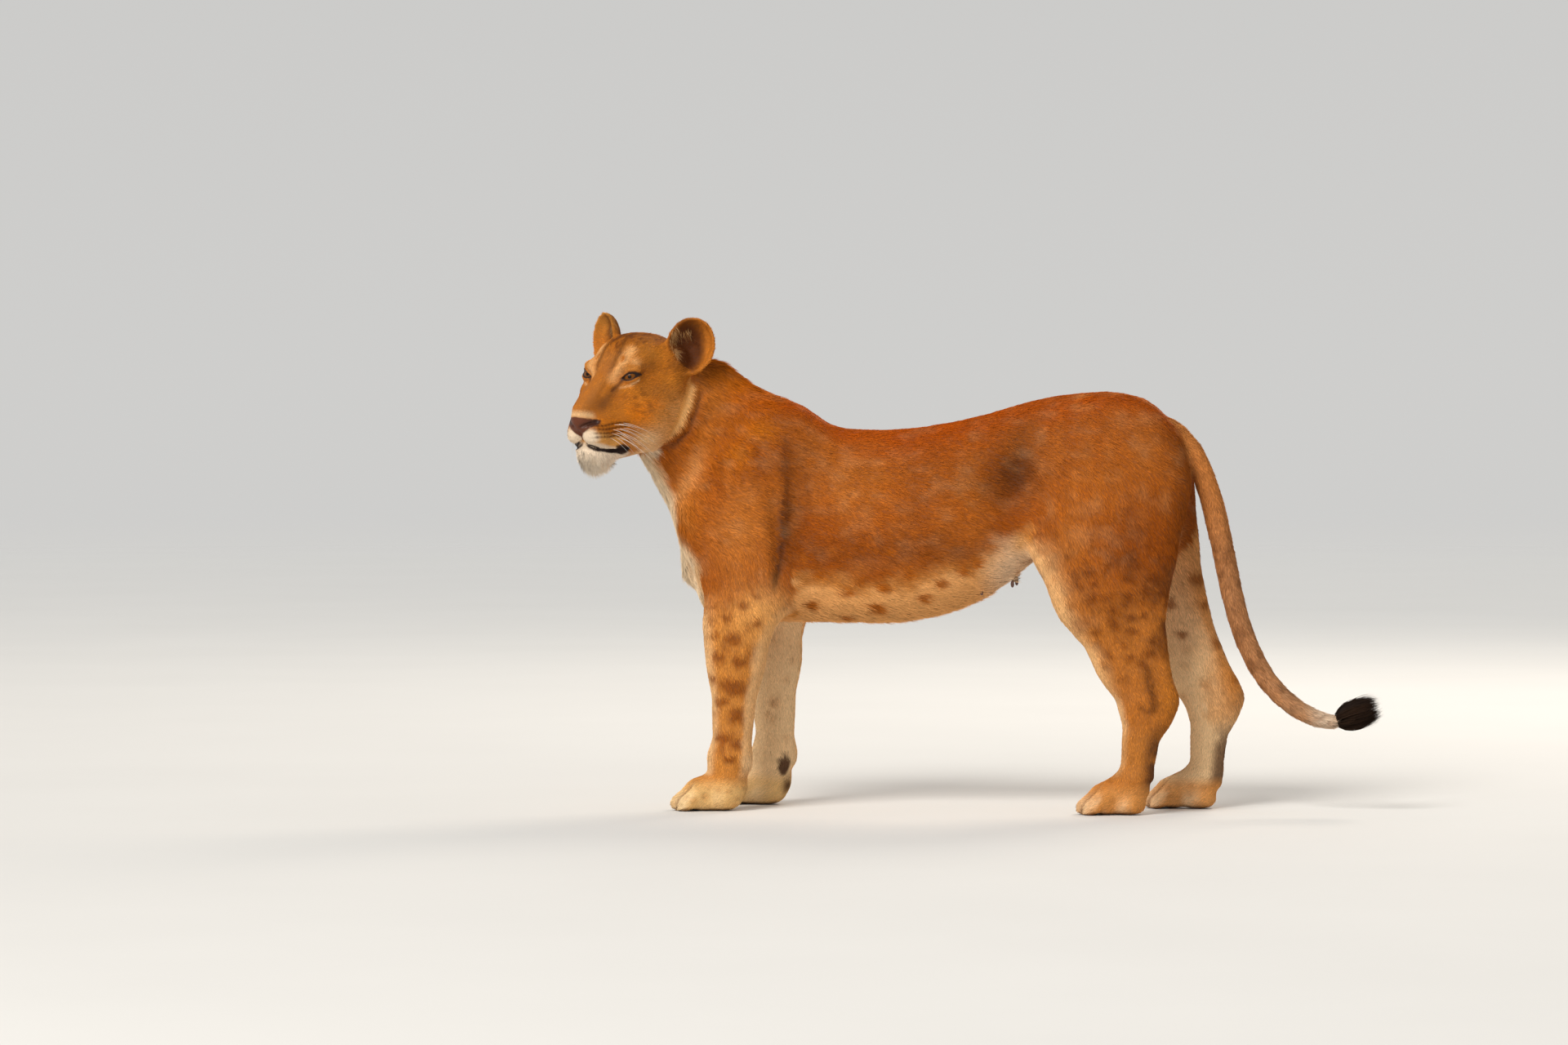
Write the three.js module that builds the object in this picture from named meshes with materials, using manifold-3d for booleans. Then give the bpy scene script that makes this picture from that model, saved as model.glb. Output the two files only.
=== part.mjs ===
// A life-size lioness standing still, facing -X, with her head turned towards her left side (-Y).
// Millimetres, +Z up. The origin is on the floor at the centre of the model's own box.
//
// The flesh is one smooth field of muscle and bone masses. It is drawn as a mesh, thinned where it is
// flat, and parted by thin cuts into the body's named parts. Ears, eyes, tail, teats and long hair
// are shaped from their own sizes and set on the flesh.
import * as THREE from "three";
import { mergeVertices } from "three/addons/utils/BufferGeometryUtils.js";
import Module from "manifold-3d";

const wasm = await Module();
wasm.setup();

const V = (x, y, z) => new THREE.Vector3(x, y, z);

// ---- driving dimensions ----------------------------------------------------------------------
const GAP = 0.3; // between touching parts
const HALF_GAP = GAP / 2;
const SOLE = 12; // the pads are drawn this deep below the floor, then cut flat at it

// ---- field of the flesh: each mass is a function of a point, negative inside -----------------------
const clamp01 = (t) => Math.min(1, Math.max(0, t));

// Joins two masses with a fillet of about the given radius.
function blend(a, b, radius) {
  const h = Math.max(radius - Math.abs(a - b), 0) / radius;
  return Math.min(a, b) - (h * h * radius) / 4;
}

// Ellipsoid with half-sizes [x, y, z], turned about Y by pitch degrees (nose-up positive) after a turn about Z.
function mass(centre, [rx, ry, rz], pitch = 0, yaw = 0) {
  const turn = new THREE.Matrix4().makeRotationFromEuler(
    new THREE.Euler(0, THREE.MathUtils.degToRad(pitch), THREE.MathUtils.degToRad(yaw), "ZYX"),
  );
  const e = turn.invert().elements;
  const { x: cx, y: cy, z: cz } = centre;
  return (x, y, z) => {
    const dx = x - cx;
    const dy = y - cy;
    const dz = z - cz;
    const px = (e[0] * dx + e[4] * dy + e[8] * dz) / rx;
    const py = (e[1] * dx + e[5] * dy + e[9] * dz) / ry;
    const pz = (e[2] * dx + e[6] * dy + e[10] * dz) / rz;
    const k = Math.hypot(px, py, pz);
    return (k * (k - 1)) / Math.max(Math.hypot(px / rx, py / ry, pz / rz), 1e-9);
  };
}

// Tapered limb from a to b. Side is its thickness along Y as a share of its depth.
function limb(a, b, radiusA, radiusB, side = 1) {
  const ab = b.clone().sub(a);
  const lengthSq = ab.lengthSq();
  return (x, y, z) => {
    const dx = x - a.x;
    const dy = y - a.y;
    const dz = z - a.z;
    const t = clamp01((dx * ab.x + dy * ab.y + dz * ab.z) / lengthSq);
    const ox = dx - t * ab.x;
    const oy = (dy - t * ab.y) / side;
    const oz = dz - t * ab.z;
    return (Math.hypot(ox, oy, oz) - (radiusA + (radiusB - radiusA) * t)) * Math.min(1, side);
  };
}

// Smooth curve through values given at rising stations.
function profile(stations, values) {
  const last = stations.length - 1;
  return (x) => {
    if (x <= stations[0]) return values[0];
    if (x >= stations[last]) return values[last];
    let i = 0;
    while (x > stations[i + 1]) i++;
    const [x0, x1] = [stations[i], stations[i + 1]];
    const slope = (j) =>
      j <= 0 || j >= last
        ? (values[Math.min(j + 1, last)] - values[Math.max(j - 1, 0)]) /
          (stations[Math.min(j + 1, last)] - stations[Math.max(j - 1, 0)])
        : (values[j + 1] - values[j - 1]) / (stations[j + 1] - stations[j - 1]);
    const h = x1 - x0;
    const t = (x - x0) / h;
    const s = t * t * (3 - 2 * t);
    return (
      values[i] * (1 - s) +
      values[i + 1] * s +
      h * (slope(i) * t * (1 - t) * (1 - t) - slope(i + 1) * t * t * (1 - t))
    );
  };
}

// Trunk: egg-shaped sections between a back line and a belly line. Fullness says how high the widest
// level stands, from 0 at the belly to 1 at the back.
function trunk(sections) {
  const at = sections.map((s) => s.x);
  const back = profile(at, sections.map((s) => s.back));
  const belly = profile(at, sections.map((s) => s.belly));
  const half = profile(at, sections.map((s) => s.half));
  const fullness = profile(at, sections.map((s) => s.full));
  const [first, last] = [at[0], at[at.length - 1]];
  return (x, y, z) => {
    const xc = Math.min(last, Math.max(first, x));
    const high = back(xc);
    const low = belly(xc);
    const middle = low + fullness(xc) * (high - low);
    const rz = z > middle ? high - middle : middle - low;
    const ry = half(xc);
    const py = y / ry;
    const pz = (z - middle) / rz;
    const px = (x - xc) / 30;
    const k = Math.pow(Math.pow(Math.abs(py), 2.15) + Math.pow(Math.abs(pz), 2.15) + px * px, 1 / 2.1);
    return (k - 1) * Math.min(ry, rz) * 0.9;
  };
}

const both = (make) => [make(-1), make(1)];
const LEFT = -1; // the lioness's left side lies towards -Y
const RIGHT = 1;

const TRUNK = trunk([
  { x: -640, back: 610, belly: 500, half: 36, full: 0.5 },
  { x: -616, back: 700, belly: 455, half: 72, full: 0.5 },
  { x: -580, back: 790, belly: 434, half: 96, full: 0.5 },
  { x: -535, back: 860, belly: 426, half: 108, full: 0.5 },
  { x: -455, back: 896, belly: 423, half: 116, full: 0.48 },
  { x: -355, back: 878, belly: 421, half: 122, full: 0.46 },
  { x: -263, back: 864, belly: 420, half: 130, full: 0.46 },
  { x: -170, back: 864, belly: 421, half: 136, full: 0.45 },
  { x: -78, back: 875, belly: 436, half: 136, full: 0.46 },
  { x: 15, back: 895, belly: 470, half: 128, full: 0.5 },
  { x: 89, back: 917, belly: 520, half: 114, full: 0.52 },
  { x: 163, back: 936, belly: 580, half: 104, full: 0.55 },
  { x: 237, back: 944, belly: 600, half: 102, full: 0.55 },
  { x: 311, back: 936, belly: 610, half: 98, full: 0.55 },
  { x: 385, back: 902, belly: 625, half: 84, full: 0.55 },
  { x: 424, back: 868, belly: 660, half: 64, full: 0.55 },
  { x: 446, back: 810, belly: 700, half: 38, full: 0.5 },
]);

// ---- legs: landmarks of the left and right limbs, side -1 or 1 -------------------------------------
const FORE_SHIFT = { [LEFT]: 0, [RIGHT]: 78 }; // the right forefoot stands further back
const HIND_SHIFT = { [LEFT]: 0, [RIGHT]: 140 };

function foreleg(side) {
  const back = FORE_SHIFT[side];
  const blade = V(-440, side * 62, 838);
  const shoulder = V(-558 + back * 0.2, side * 92, 645);
  const elbow = V(-462 + back * 0.4, side * 98, 525);
  const kneeTop = V(-530 + back * 0.77, side * 98, 330);
  const wrist = V(-541 + back, side * 94, 118);
  const heel = V(-548 + back, side * 92, 56);
  const toes = V(-650 + back, side * 98, 34);
  return [
    [limb(blade, shoulder, 56, 76, 0.56), 70],
    [mass(V(-525, side * 88, 690), [82, 50, 148], 22), 50],
    [limb(shoulder, elbow, 76, 70, 0.6), 50],
    [limb(V(-512 + back * 0.4, side * 100, 560), V(-528 + back * 0.6, side * 100, 400), 80, 62, 0.58), 40],
    [limb(elbow, V(-510 + back * 0.6, side * 100, 400), 50, 44, 0.74), 30],
    [limb(V(-532 + back * 0.6, side * 100, 420), kneeTop, 66, 57, 0.68), 30],
    [limb(kneeTop, wrist, 57, 43, 0.76), 30],
    [limb(wrist, heel, 41, 41, 0.88), 20],
    [mass(V(-546 + back, side * 94, 118), [46, 37, 42]), 24],
    [mass(V(-508 + back, side * 94, 102), [13, 12, 17]), 8],
    ...paw(heel, toes, side, 1),
  ];
}

function hindleg(side) {
  const back = HIND_SHIFT[side];
  const hip = V(330, side * 60, 790);
  const knee = V(280 + back * 0.42, side * 104, 500);
  const hock = V(438 + back * 0.98, side * 96, 256);
  const shankTop = V(292 + back * 0.47, side * 102, 470);
  const shank = V(350 + back * 0.78, side * 98, 345);
  const ankle = V(374 + back * 1.06, side * 96, 74);
  const toes = V(266 + back, side * 100, 32);
  return [
    [mass(V(322, side * 70, 765), [132, 54, 150]), 60],
    [limb(hip, V(310 + back * 0.3, side * 96, 590), 112, 106, 0.46), 60],
    [limb(V(306 + back * 0.3, side * 98, 600), knee, 100, 74, 0.46), 50],
    [limb(V(392, side * 64, 730), V(378 + back * 0.5, side * 90, 500), 82, 54, 0.5), 50],
    [limb(V(196, side * 76, 760), V(216 + back * 0.4, side * 98, 590), 42, 36, 0.5), 60],
    [limb(shankTop, shank, 76, 58, 0.58), 40],
    [limb(shank, V(388 + back * 0.98, side * 96, 264), 60, 53, 0.6), 30],
    [limb(V(386 + back * 0.6, side * 92, 500), hock, 36, 22, 0.76), 34],
    [limb(hock, V(422 + back, side * 96, 222), 30, 34, 0.84), 20],
    [limb(V(396 + back, side * 96, 256), ankle, 50, 37, 0.7), 26],
    ...paw(ankle, toes, side, 0.93),
  ];
}

// Foot: instep, four toes with their knuckles, and the pads that stand on the floor.
const TOE_SPREAD = [-33, -12, 12, 33];
const TOE_REACH = [-8, 8, 8, -8];

function paw(heel, toes, side, size) {
  const masses = [
    [limb(heel, V(toes.x + 38 * size, toes.y, 44 * size), 38 * size, 34 * size, 1.02), 20],
    [mass(V(heel.x - 18, heel.y, 24 * size), [46 * size, 40 * size, 27 * size]), 14],
    [mass(V(toes.x + 44 * size, toes.y, 23 * size), [40 * size, 41 * size, 25 * size]), 10],
  ];
  TOE_SPREAD.forEach((spread, i) => {
    const y = toes.y + spread * size;
    const tip = V(toes.x - TOE_REACH[i] * size, y, 18 * size);
    const knuckle = V(toes.x + (34 - TOE_REACH[i]) * size, toes.y + spread * 0.85 * size, 45 * size);
    masses.push([limb(knuckle, tip, 22 * size, 20.5 * size, 0.8), 7]);
  });
  return masses;
}

// ---- head, in its own frame: origin between the eyes, +X to the nose, +Y to her left, +Z up ----------
const HEAD_AT = V(-801, -172, 984);
const HEAD_YAW = 63; // degrees from straight ahead towards her left
const HEAD_TILT = 3.5; // her right side carried a little higher
const HEAD_FRAME = new THREE.Matrix4()
  .makeTranslation(HEAD_AT)
  .multiply(new THREE.Matrix4().makeRotationY(THREE.MathUtils.degToRad(HEAD_TILT)))
  .multiply(new THREE.Matrix4().makeRotationZ(THREE.MathUtils.degToRad(180 + HEAD_YAW)));
const TO_HEAD = HEAD_FRAME.clone().invert();
const inHead = (x, y, z) => V(x, y, z).applyMatrix4(HEAD_FRAME);
const headWay = (x, y, z) => V(x, y, z).transformDirection(HEAD_FRAME);

// Outward, up and slant are in degrees; the slit is the gap between the lids.
const EYE = { x: 0, y: 54, z: 0, radius: 20.5, lid: 4.5, outward: 26, up: 4, slant: 12, slit: [41, 17] };
const EAR = { x: -126, y: 121, z: 76, width: 57, height: 68, depth: 40, wall: 8, outward: 30, lean: 14 };
const EAR_BASE = [V(-128, 92, 54), V(-0.1, 0.74, 0.66)];
const EAR_BACK = [V(-178, 0, 0), V(1, 0, 0)];

// A cup: the outside and inside are ellipsoids, and the front of the cup is cut open.
function earCup() {
  const turn = new THREE.Matrix4()
    .makeTranslation(EAR.x, EAR.y, EAR.z)
    .multiply(new THREE.Matrix4().makeRotationZ(THREE.MathUtils.degToRad(EAR.outward)))
    .multiply(new THREE.Matrix4().makeRotationX(THREE.MathUtils.degToRad(-EAR.lean)));
  const e = turn.invert().elements;
  const outside = mass(V(0, 0, 0), [EAR.depth, EAR.width, EAR.height]);
  const inside = mass(V(EAR.wall, 0, 2), [EAR.depth, EAR.width - EAR.wall, EAR.height - EAR.wall]);
  return (x, y, z) => {
    const px = e[0] * x + e[4] * y + e[8] * z + e[12];
    const py = e[1] * x + e[5] * y + e[9] * z + e[13];
    const pz = e[2] * x + e[6] * y + e[10] * z + e[14];
    return Math.max(outside(px, py, pz), -inside(px, py, pz), px - 4);
  };
}

// Cuts one mass out of another as a groove with rounded edges.
const carve = (d, groove, radius) => -blend(-d, groove, radius);

function headField() {
  const masses = [
    [mass(V(-92, 0, 22), [96, 86, 80]), 30], // braincase
    [mass(V(-40, 0, 30), [64, 64, 52], 24), 26], // forehead
    [mass(V(2, 47, 20), [32, 26, 15], 10, -16), 16], // brow
    [mass(V(-158, 0, 4), [76, 80, 90]), 40], // nape
    [limb(V(-6, 0, -6), V(102, 0, -84), 42, 28, 0.9), 24], // bridge of the nose
    [mass(V(24, 0, -84), [72, 50, 60]), 24], // inside of the muzzle
    [mass(V(10, 48, -106), [42, 28, 44]), 24], // behind the whisker pad
    [limb(V(4, 32, -42), V(70, 24, -112), 28, 26), 20], // side of the muzzle
    [mass(V(72, 0, -122), [44, 44, 38], 10), 18], // muzzle
    [mass(V(78, 27, -135), [32, 24, 25], 8, -10), 10], // whisker pad
    [mass(V(110, 0, -106), [17, 27, 17]), 9], // nose
    [mass(V(52, 0, -180), [34, 35, 25]), 16], // chin
    [limb(V(48, 16, -174), V(-72, 56, -128), 26, 37), 22], // lower jaw
    [mass(V(-50, 58, -64), [76, 44, 70], 20), 28], // cheek
    [mass(V(-124, 68, -60), [74, 42, 80], 16), 30], // ruff
    [limb(V(6, 50, -40), V(-106, 84, -24), 19, 30), 20], // cheekbone
    [mass(V(-70, 64, -102), [64, 42, 52]), 26], // jaw muscle
    [mass(V(EYE.x, EYE.y, EYE.z), Array(3).fill(EYE.radius + EYE.lid)), 9], // lids
    [mass(V(-130, 80, 34), [46, 34, 42]), 30], // ear root
  ];
  const mouth = [
    limb(V(112, 0, -151), V(94, 25, -158), 4, 4),
    limb(V(94, 25, -158), V(60, 44, -162), 4, 4),
    limb(V(60, 44, -162), V(22, 56, -160), 4, 5),
    limb(V(126, 0, -126), V(114, 0, -151), 3, 3.5),
    limb(V(130, 11, -112), V(106, 32, -102), 4.5, 4), // nostril
  ];
  const cup = earCup();
  return (x, y, z) => {
    const side = Math.abs(y);
    let d = 1e9;
    for (const [m, radius] of masses) d = blend(d, m(x, side, z), radius);
    if (x > 0 && z < -80) for (const m of mouth) d = carve(d, m(x, side, z), 3.5);
    if (x < -40 && z > -30 && side > 30) d = blend(d, cup(x, side, z), 10);
    return d;
  };
}

const HEAD = (() => {
  const field = headField();
  const e = TO_HEAD.elements;
  return (x, y, z) =>
    field(
      e[0] * x + e[4] * y + e[8] * z + e[12],
      e[1] * x + e[5] * y + e[9] * z + e[13],
      e[2] * x + e[6] * y + e[10] * z + e[14],
    );
})();

// ---- neck and body -----------------------------------------------------------------------------------
const NECK = [
  [limb(V(-440, 0, 852), V(-600, -2, 948), 48, 76, 0.8), 50],
  [limb(V(-470, 0, 785), V(-682, -14, 916), 98, 86, 0.86), 60],
  [limb(V(-548, 0, 690), V(-690, -34, 872), 98, 82, 0.86), 60],
  [limb(V(-574, 0, 610), V(-696, -54, 838), 76, 60, 0.9), 50],
];
const TAIL_ROOT = [[limb(V(370, 0, 868), V(440, 0, 850), 46, 28), 40]];

const BODY = [
  ...NECK,
  ...TAIL_ROOT,
  ...both(foreleg).flat(),
  ...both(hindleg).flat(),
];

function flesh(x, y, z) {
  let d = TRUNK(x, y, z);
  for (const [m, radius] of BODY) d = blend(d, m(x, y, z), radius);
  if (x < -520 && z > 600) d = blend(d, HEAD(x, y, z), 24);
  return Math.max(d, -SOLE - z);
}

// ---- drawing a field as a closed mesh ----------------------------------------------------------------
// One vertex for each grid cell that the surface passes through, and one square for each grid edge.
function drawField(field, low, high, cell) {
  const counts = [0, 1, 2].map((a) => Math.ceil((high.getComponent(a) - low.getComponent(a)) / cell) + 1);
  const [nx, ny, nz] = counts;
  const at = (i, j, k) => i + nx * (j + ny * k);
  const values = new Float32Array(nx * ny * nz);
  const block = 6; // cells; a block far from the surface takes one value throughout
  for (let k0 = 0; k0 < nz; k0 += block)
    for (let j0 = 0; j0 < ny; j0 += block)
      for (let i0 = 0; i0 < nx; i0 += block) {
        const [cx, cy, cz] = [i0, j0, k0].map((n, a) => low.getComponent(a) + (n + block / 2) * cell);
        const middle = field(cx, cy, cz);
        const far = Math.abs(middle) > block * cell * 1.6;
        for (let k = k0; k < Math.min(nz, k0 + block); k++)
          for (let j = j0; j < Math.min(ny, j0 + block); j++)
            for (let i = i0; i < Math.min(nx, i0 + block); i++)
              values[at(i, j, k)] = far ? middle : field(low.x + i * cell, low.y + j * cell, low.z + k * cell);
      }
  const vertexOf = new Int32Array(nx * ny * nz).fill(-1);
  const points = [];
  const corners = [0, 1, 2, 3, 4, 5, 6, 7].map((c) => [c & 1, (c >> 1) & 1, c >> 2]);
  for (let k = 0; k < nz - 1; k++)
    for (let j = 0; j < ny - 1; j++)
      for (let i = 0; i < nx - 1; i++) {
        let inside = 0;
        for (const [a, b, c] of corners) if (values[at(i + a, j + b, k + c)] < 0) inside++;
        if (inside === 0 || inside === 8) continue;
        const sum = V(0, 0, 0);
        let crossings = 0;
        for (let p = 0; p < 8; p++)
          for (let bit = 1; bit < 8; bit <<= 1) {
            if (p & bit) continue;
            const [a, b] = [corners[p], corners[p | bit]];
            const va = values[at(i + a[0], j + a[1], k + a[2])];
            const vb = values[at(i + b[0], j + b[1], k + b[2])];
            if (va < 0 === vb < 0) continue;
            const t = va / (va - vb);
            sum.add(V(a[0] + (b[0] - a[0]) * t, a[1] + (b[1] - a[1]) * t, a[2] + (b[2] - a[2]) * t));
            crossings++;
          }
        vertexOf[at(i, j, k)] = points.length;
        points.push(sum.divideScalar(crossings).add(V(i, j, k)).multiplyScalar(cell).add(low));
      }
  const faces = [];
  const steps = [at(1, 0, 0), at(0, 1, 0), at(0, 0, 1)];
  for (let k = 1; k < nz - 1; k++)
    for (let j = 1; j < ny - 1; j++)
      for (let i = 1; i < nx - 1; i++)
        for (let axis = 0; axis < 3; axis++) {
          const here = at(i, j, k);
          const a = values[here] < 0;
          if (a === values[here + steps[axis]] < 0) continue;
          const u = steps[(axis + 1) % 3];
          const v = steps[(axis + 2) % 3];
          const ring = [here, here - u, here - u - v, here - v].map((c) => vertexOf[c]);
          if (!a) ring.reverse();
          faces.push([ring[0], ring[1], ring[2]], [ring[0], ring[2], ring[3]]);
        }
  return { points, faces };
}

// Pulls each vertex onto the field's zero surface along the field's slope.
function settle(points, field, rounds = 2) {
  const h = 0.5;
  for (const p of points)
    for (let n = 0; n < rounds; n++) {
      const d = field(p.x, p.y, p.z);
      const g = V(
        field(p.x + h, p.y, p.z) - field(p.x - h, p.y, p.z),
        field(p.x, p.y + h, p.z) - field(p.x, p.y - h, p.z),
        field(p.x, p.y, p.z + h) - field(p.x, p.y, p.z - h),
      ).divideScalar(2 * h);
      const steep = g.lengthSq();
      if (steep < 0.05) break;
      p.addScaledVector(g, -THREE.MathUtils.clamp(d / steep, -4, 4));
    }
}

// ---- thinning a closed mesh: edges whose loss changes the shape least go first ----------------------
class Queue {
  items = [];
  push(item) {
    const q = this.items;
    q.push(item);
    let i = q.length - 1;
    while (i > 0) {
      const up = (i - 1) >> 1;
      if (q[up].cost <= q[i].cost) break;
      [q[up], q[i]] = [q[i], q[up]];
      i = up;
    }
  }
  pop() {
    const q = this.items;
    const top = q[0];
    const end = q.pop();
    if (q.length) {
      q[0] = end;
      let i = 0;
      for (;;) {
        let small = i;
        for (const c of [2 * i + 1, 2 * i + 2]) if (c < q.length && q[c].cost < q[small].cost) small = c;
        if (small === i) break;
        [q[small], q[i]] = [q[i], q[small]];
        i = small;
      }
    }
    return top;
  }
}

function thin({ points, faces }, wanted, care = () => 1) {
  const around = points.map(() => new Set());
  faces.forEach((f, i) => f.forEach((v) => around[v].add(i)));
  const alive = faces.map(() => true);
  const version = points.map(() => 0);
  const normalOf = (a, b, c) => b.clone().sub(a).cross(c.clone().sub(a));
  // Each vertex sums the squared distances to its faces' planes, as ten numbers.
  const quadric = points.map(() => new Float64Array(10));
  for (const f of faces) {
    const [a, b, c] = f.map((v) => points[v]);
    const n = normalOf(a, b, c);
    const area = n.length();
    if (area < 1e-9) continue;
    n.divideScalar(area);
    const d = -n.dot(a);
    const q = [n.x * n.x, n.x * n.y, n.x * n.z, n.x * d, n.y * n.y, n.y * n.z, n.y * d, n.z * n.z, n.z * d, d * d];
    const share = area * care(a);
    for (const v of f) for (let i = 0; i < 10; i++) quadric[v][i] += q[i] * share;
  }
  const cost = (q, p) =>
    q[0] * p.x * p.x + 2 * q[1] * p.x * p.y + 2 * q[2] * p.x * p.z + 2 * q[3] * p.x +
    q[4] * p.y * p.y + 2 * q[5] * p.y * p.z + 2 * q[6] * p.y +
    q[7] * p.z * p.z + 2 * q[8] * p.z + q[9];
  const queue = new Queue();
  function offer(a, b) {
    const q = quadric[a].map((x, i) => x + quadric[b][i]);
    const middle = points[a].clone().add(points[b]).multiplyScalar(0.5);
    const spots = [points[a], points[b], middle];
    const m = new THREE.Matrix3().set(q[0], q[1], q[2], q[1], q[4], q[5], q[2], q[5], q[7]);
    const scale = Math.max(q[0] + q[4] + q[7], 1e-12);
    if (Math.abs(m.determinant()) > 1e-4 * scale ** 3) {
      const best = V(-q[3], -q[6], -q[8]).applyMatrix3(m.invert());
      if (best.distanceTo(middle) < points[a].distanceTo(points[b])) spots.push(best);
    }
    let place = null;
    let least = Infinity;
    for (const s of spots) {
      const c = cost(q, s);
      if (c < least) [least, place] = [c, s];
    }
    const length = points[a].distanceToSquared(points[b]);
    queue.push({ cost: least + 1e-4 * length * care(middle), a, b, place: place.clone(), va: version[a], vb: version[b] });
  }
  const nextTo = (v) => {
    const found = new Set();
    for (const f of around[v]) for (const w of faces[f]) if (w !== v) found.add(w);
    return found;
  };
  for (const f of faces) for (let i = 0; i < 3; i++) if (f[i] < f[(i + 1) % 3]) offer(f[i], f[(i + 1) % 3]);
  let left = faces.length;
  while (left > wanted && queue.items.length) {
    const { a, b, place, va, vb } = queue.pop();
    if (version[a] !== va || version[b] !== vb) continue;
    const shared = [...nextTo(a)].filter((v) => nextTo(b).has(v));
    if (shared.length !== 2) continue;
    const flips = (v, other) =>
      [...around[v]].some((i) => {
        const f = faces[i];
        if (f.includes(other)) return false;
        const before = normalOf(...f.map((w) => points[w]));
        const after = normalOf(...f.map((w) => (w === v ? place : points[w])));
        return before.dot(after) < 0.5 * before.length() * after.length() || after.length() < 0.02;
      });
    if (flips(a, b) || flips(b, a)) continue;
    points[a] = place;
    quadric[a] = quadric[a].map((x, i) => x + quadric[b][i]);
    for (const i of around[b]) {
      const f = faces[i];
      if (f.includes(a)) {
        alive[i] = false;
        left--;
        for (const v of f) if (v !== b) around[v].delete(i);
      } else {
        f[f.indexOf(b)] = a;
        around[a].add(i);
      }
    }
    around[b] = new Set();
    version[a]++;
    version[b] = -1;
    for (const v of nextTo(a)) offer(a, v);
  }
  return { points, faces: faces.filter((f, i) => alive[i]) };
}

// ---- solids -----------------------------------------------------------------------------------------
function geometryOf({ points, faces }) {
  const geometry = new THREE.BufferGeometry();
  geometry.setAttribute("position", new THREE.Float32BufferAttribute(points.flatMap((p) => p.toArray()), 3));
  geometry.setIndex(faces.flat());
  return geometry;
}

function solidOf(source) {
  const bare = source.clone();
  bare.deleteAttribute("normal");
  bare.deleteAttribute("uv");
  const merged = mergeVertices(bare, 1e-3);
  return new wasm.Manifold(
    new wasm.Mesh({
      numProp: 3,
      vertProperties: new Float32Array(merged.attributes.position.array),
      triVerts: new Uint32Array(merged.index.array),
    }),
  );
}

// A node's own mesh. Where two sheets of it touch along an edge, each is drawn in by a hair, so that it closes by itself.
function geometryFrom(solid) {
  const mesh = largest(solid).simplify(0.01).getMesh();
  const corners = mesh.vertProperties.slice();
  const inward = new Float32Array(corners.length);
  const at = (i) => V(corners[3 * i], corners[3 * i + 1], corners[3 * i + 2]);
  for (let f = 0; f < mesh.triVerts.length; f += 3) {
    const [a, b, c] = mesh.triVerts.slice(f, f + 3);
    const n = at(b).sub(at(a)).cross(at(c).sub(at(a)));
    for (const v of [a, b, c]) [n.x, n.y, n.z].forEach((x, i) => (inward[3 * v + i] -= x));
  }
  const places = new Map();
  for (let v = 0; v < mesh.numVert; v++) {
    const place = at(v).toArray().map((x) => x.toFixed(3)).join();
    places.set(place, [...(places.get(place) ?? []), v]);
  }
  for (const group of [...places.values()].filter((g) => g.length > 1))
    for (const v of group) {
      const way = V(inward[3 * v], inward[3 * v + 1], inward[3 * v + 2]).setLength(0.04);
      [way.x, way.y, way.z].forEach((x, i) => (corners[3 * v + i] += x));
    }
  const geometry = new THREE.BufferGeometry();
  geometry.setAttribute("position", new THREE.BufferAttribute(corners, 3));
  geometry.setIndex(new THREE.BufferAttribute(mesh.triVerts.slice(), 1));
  return geometry;
}

function largest(solid) {
  const pieces = solid.decompose();
  return pieces.reduce((a, b) => (b.volume() > a.volume() ? b : a), pieces[0] ?? solid);
}

// Everything on the side of a plane that its normal points to, beyond a small setback.
function beyond(point, normal, setback = HALF_GAP) {
  const size = 4000;
  const n = normal.clone().normalize();
  const block = new THREE.BoxGeometry(size, size, size);
  block.applyQuaternion(new THREE.Quaternion().setFromUnitVectors(V(0, 0, 1), n));
  const centre = point.clone().addScaledVector(n, size / 2 + setback);
  return solidOf(block.translate(centre.x, centre.y, centre.z));
}

// Parts a solid: [what lies beyond all the planes, the rest], with the gap between them.
function part(solid, ...planes) {
  const region = (setback) => planes.map(([p, n]) => beyond(p, n, setback)).reduce((a, b) => a.intersect(b));
  return [largest(solid.intersect(region(HALF_GAP))), largest(solid.subtract(region(-HALF_GAP)))];
}

// Flesh inside a box as one solid of about the wanted number of triangles.
function fleshIn(low, high, cell, wanted, care) {
  const edge = 2.5 * cell;
  const boxed = (x, y, z) =>
    Math.max(
      flesh(x, y, z),
      low.x + edge - x, x - high.x + edge,
      low.y + edge - y, y - high.y + edge,
      low.z + edge - z, z - high.z + edge,
    );
  const drawn = drawField(boxed, low, high, cell);
  settle(drawn.points, boxed);
  return solidOf(geometryOf(thin(drawn, wanted, care)));
}

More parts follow.
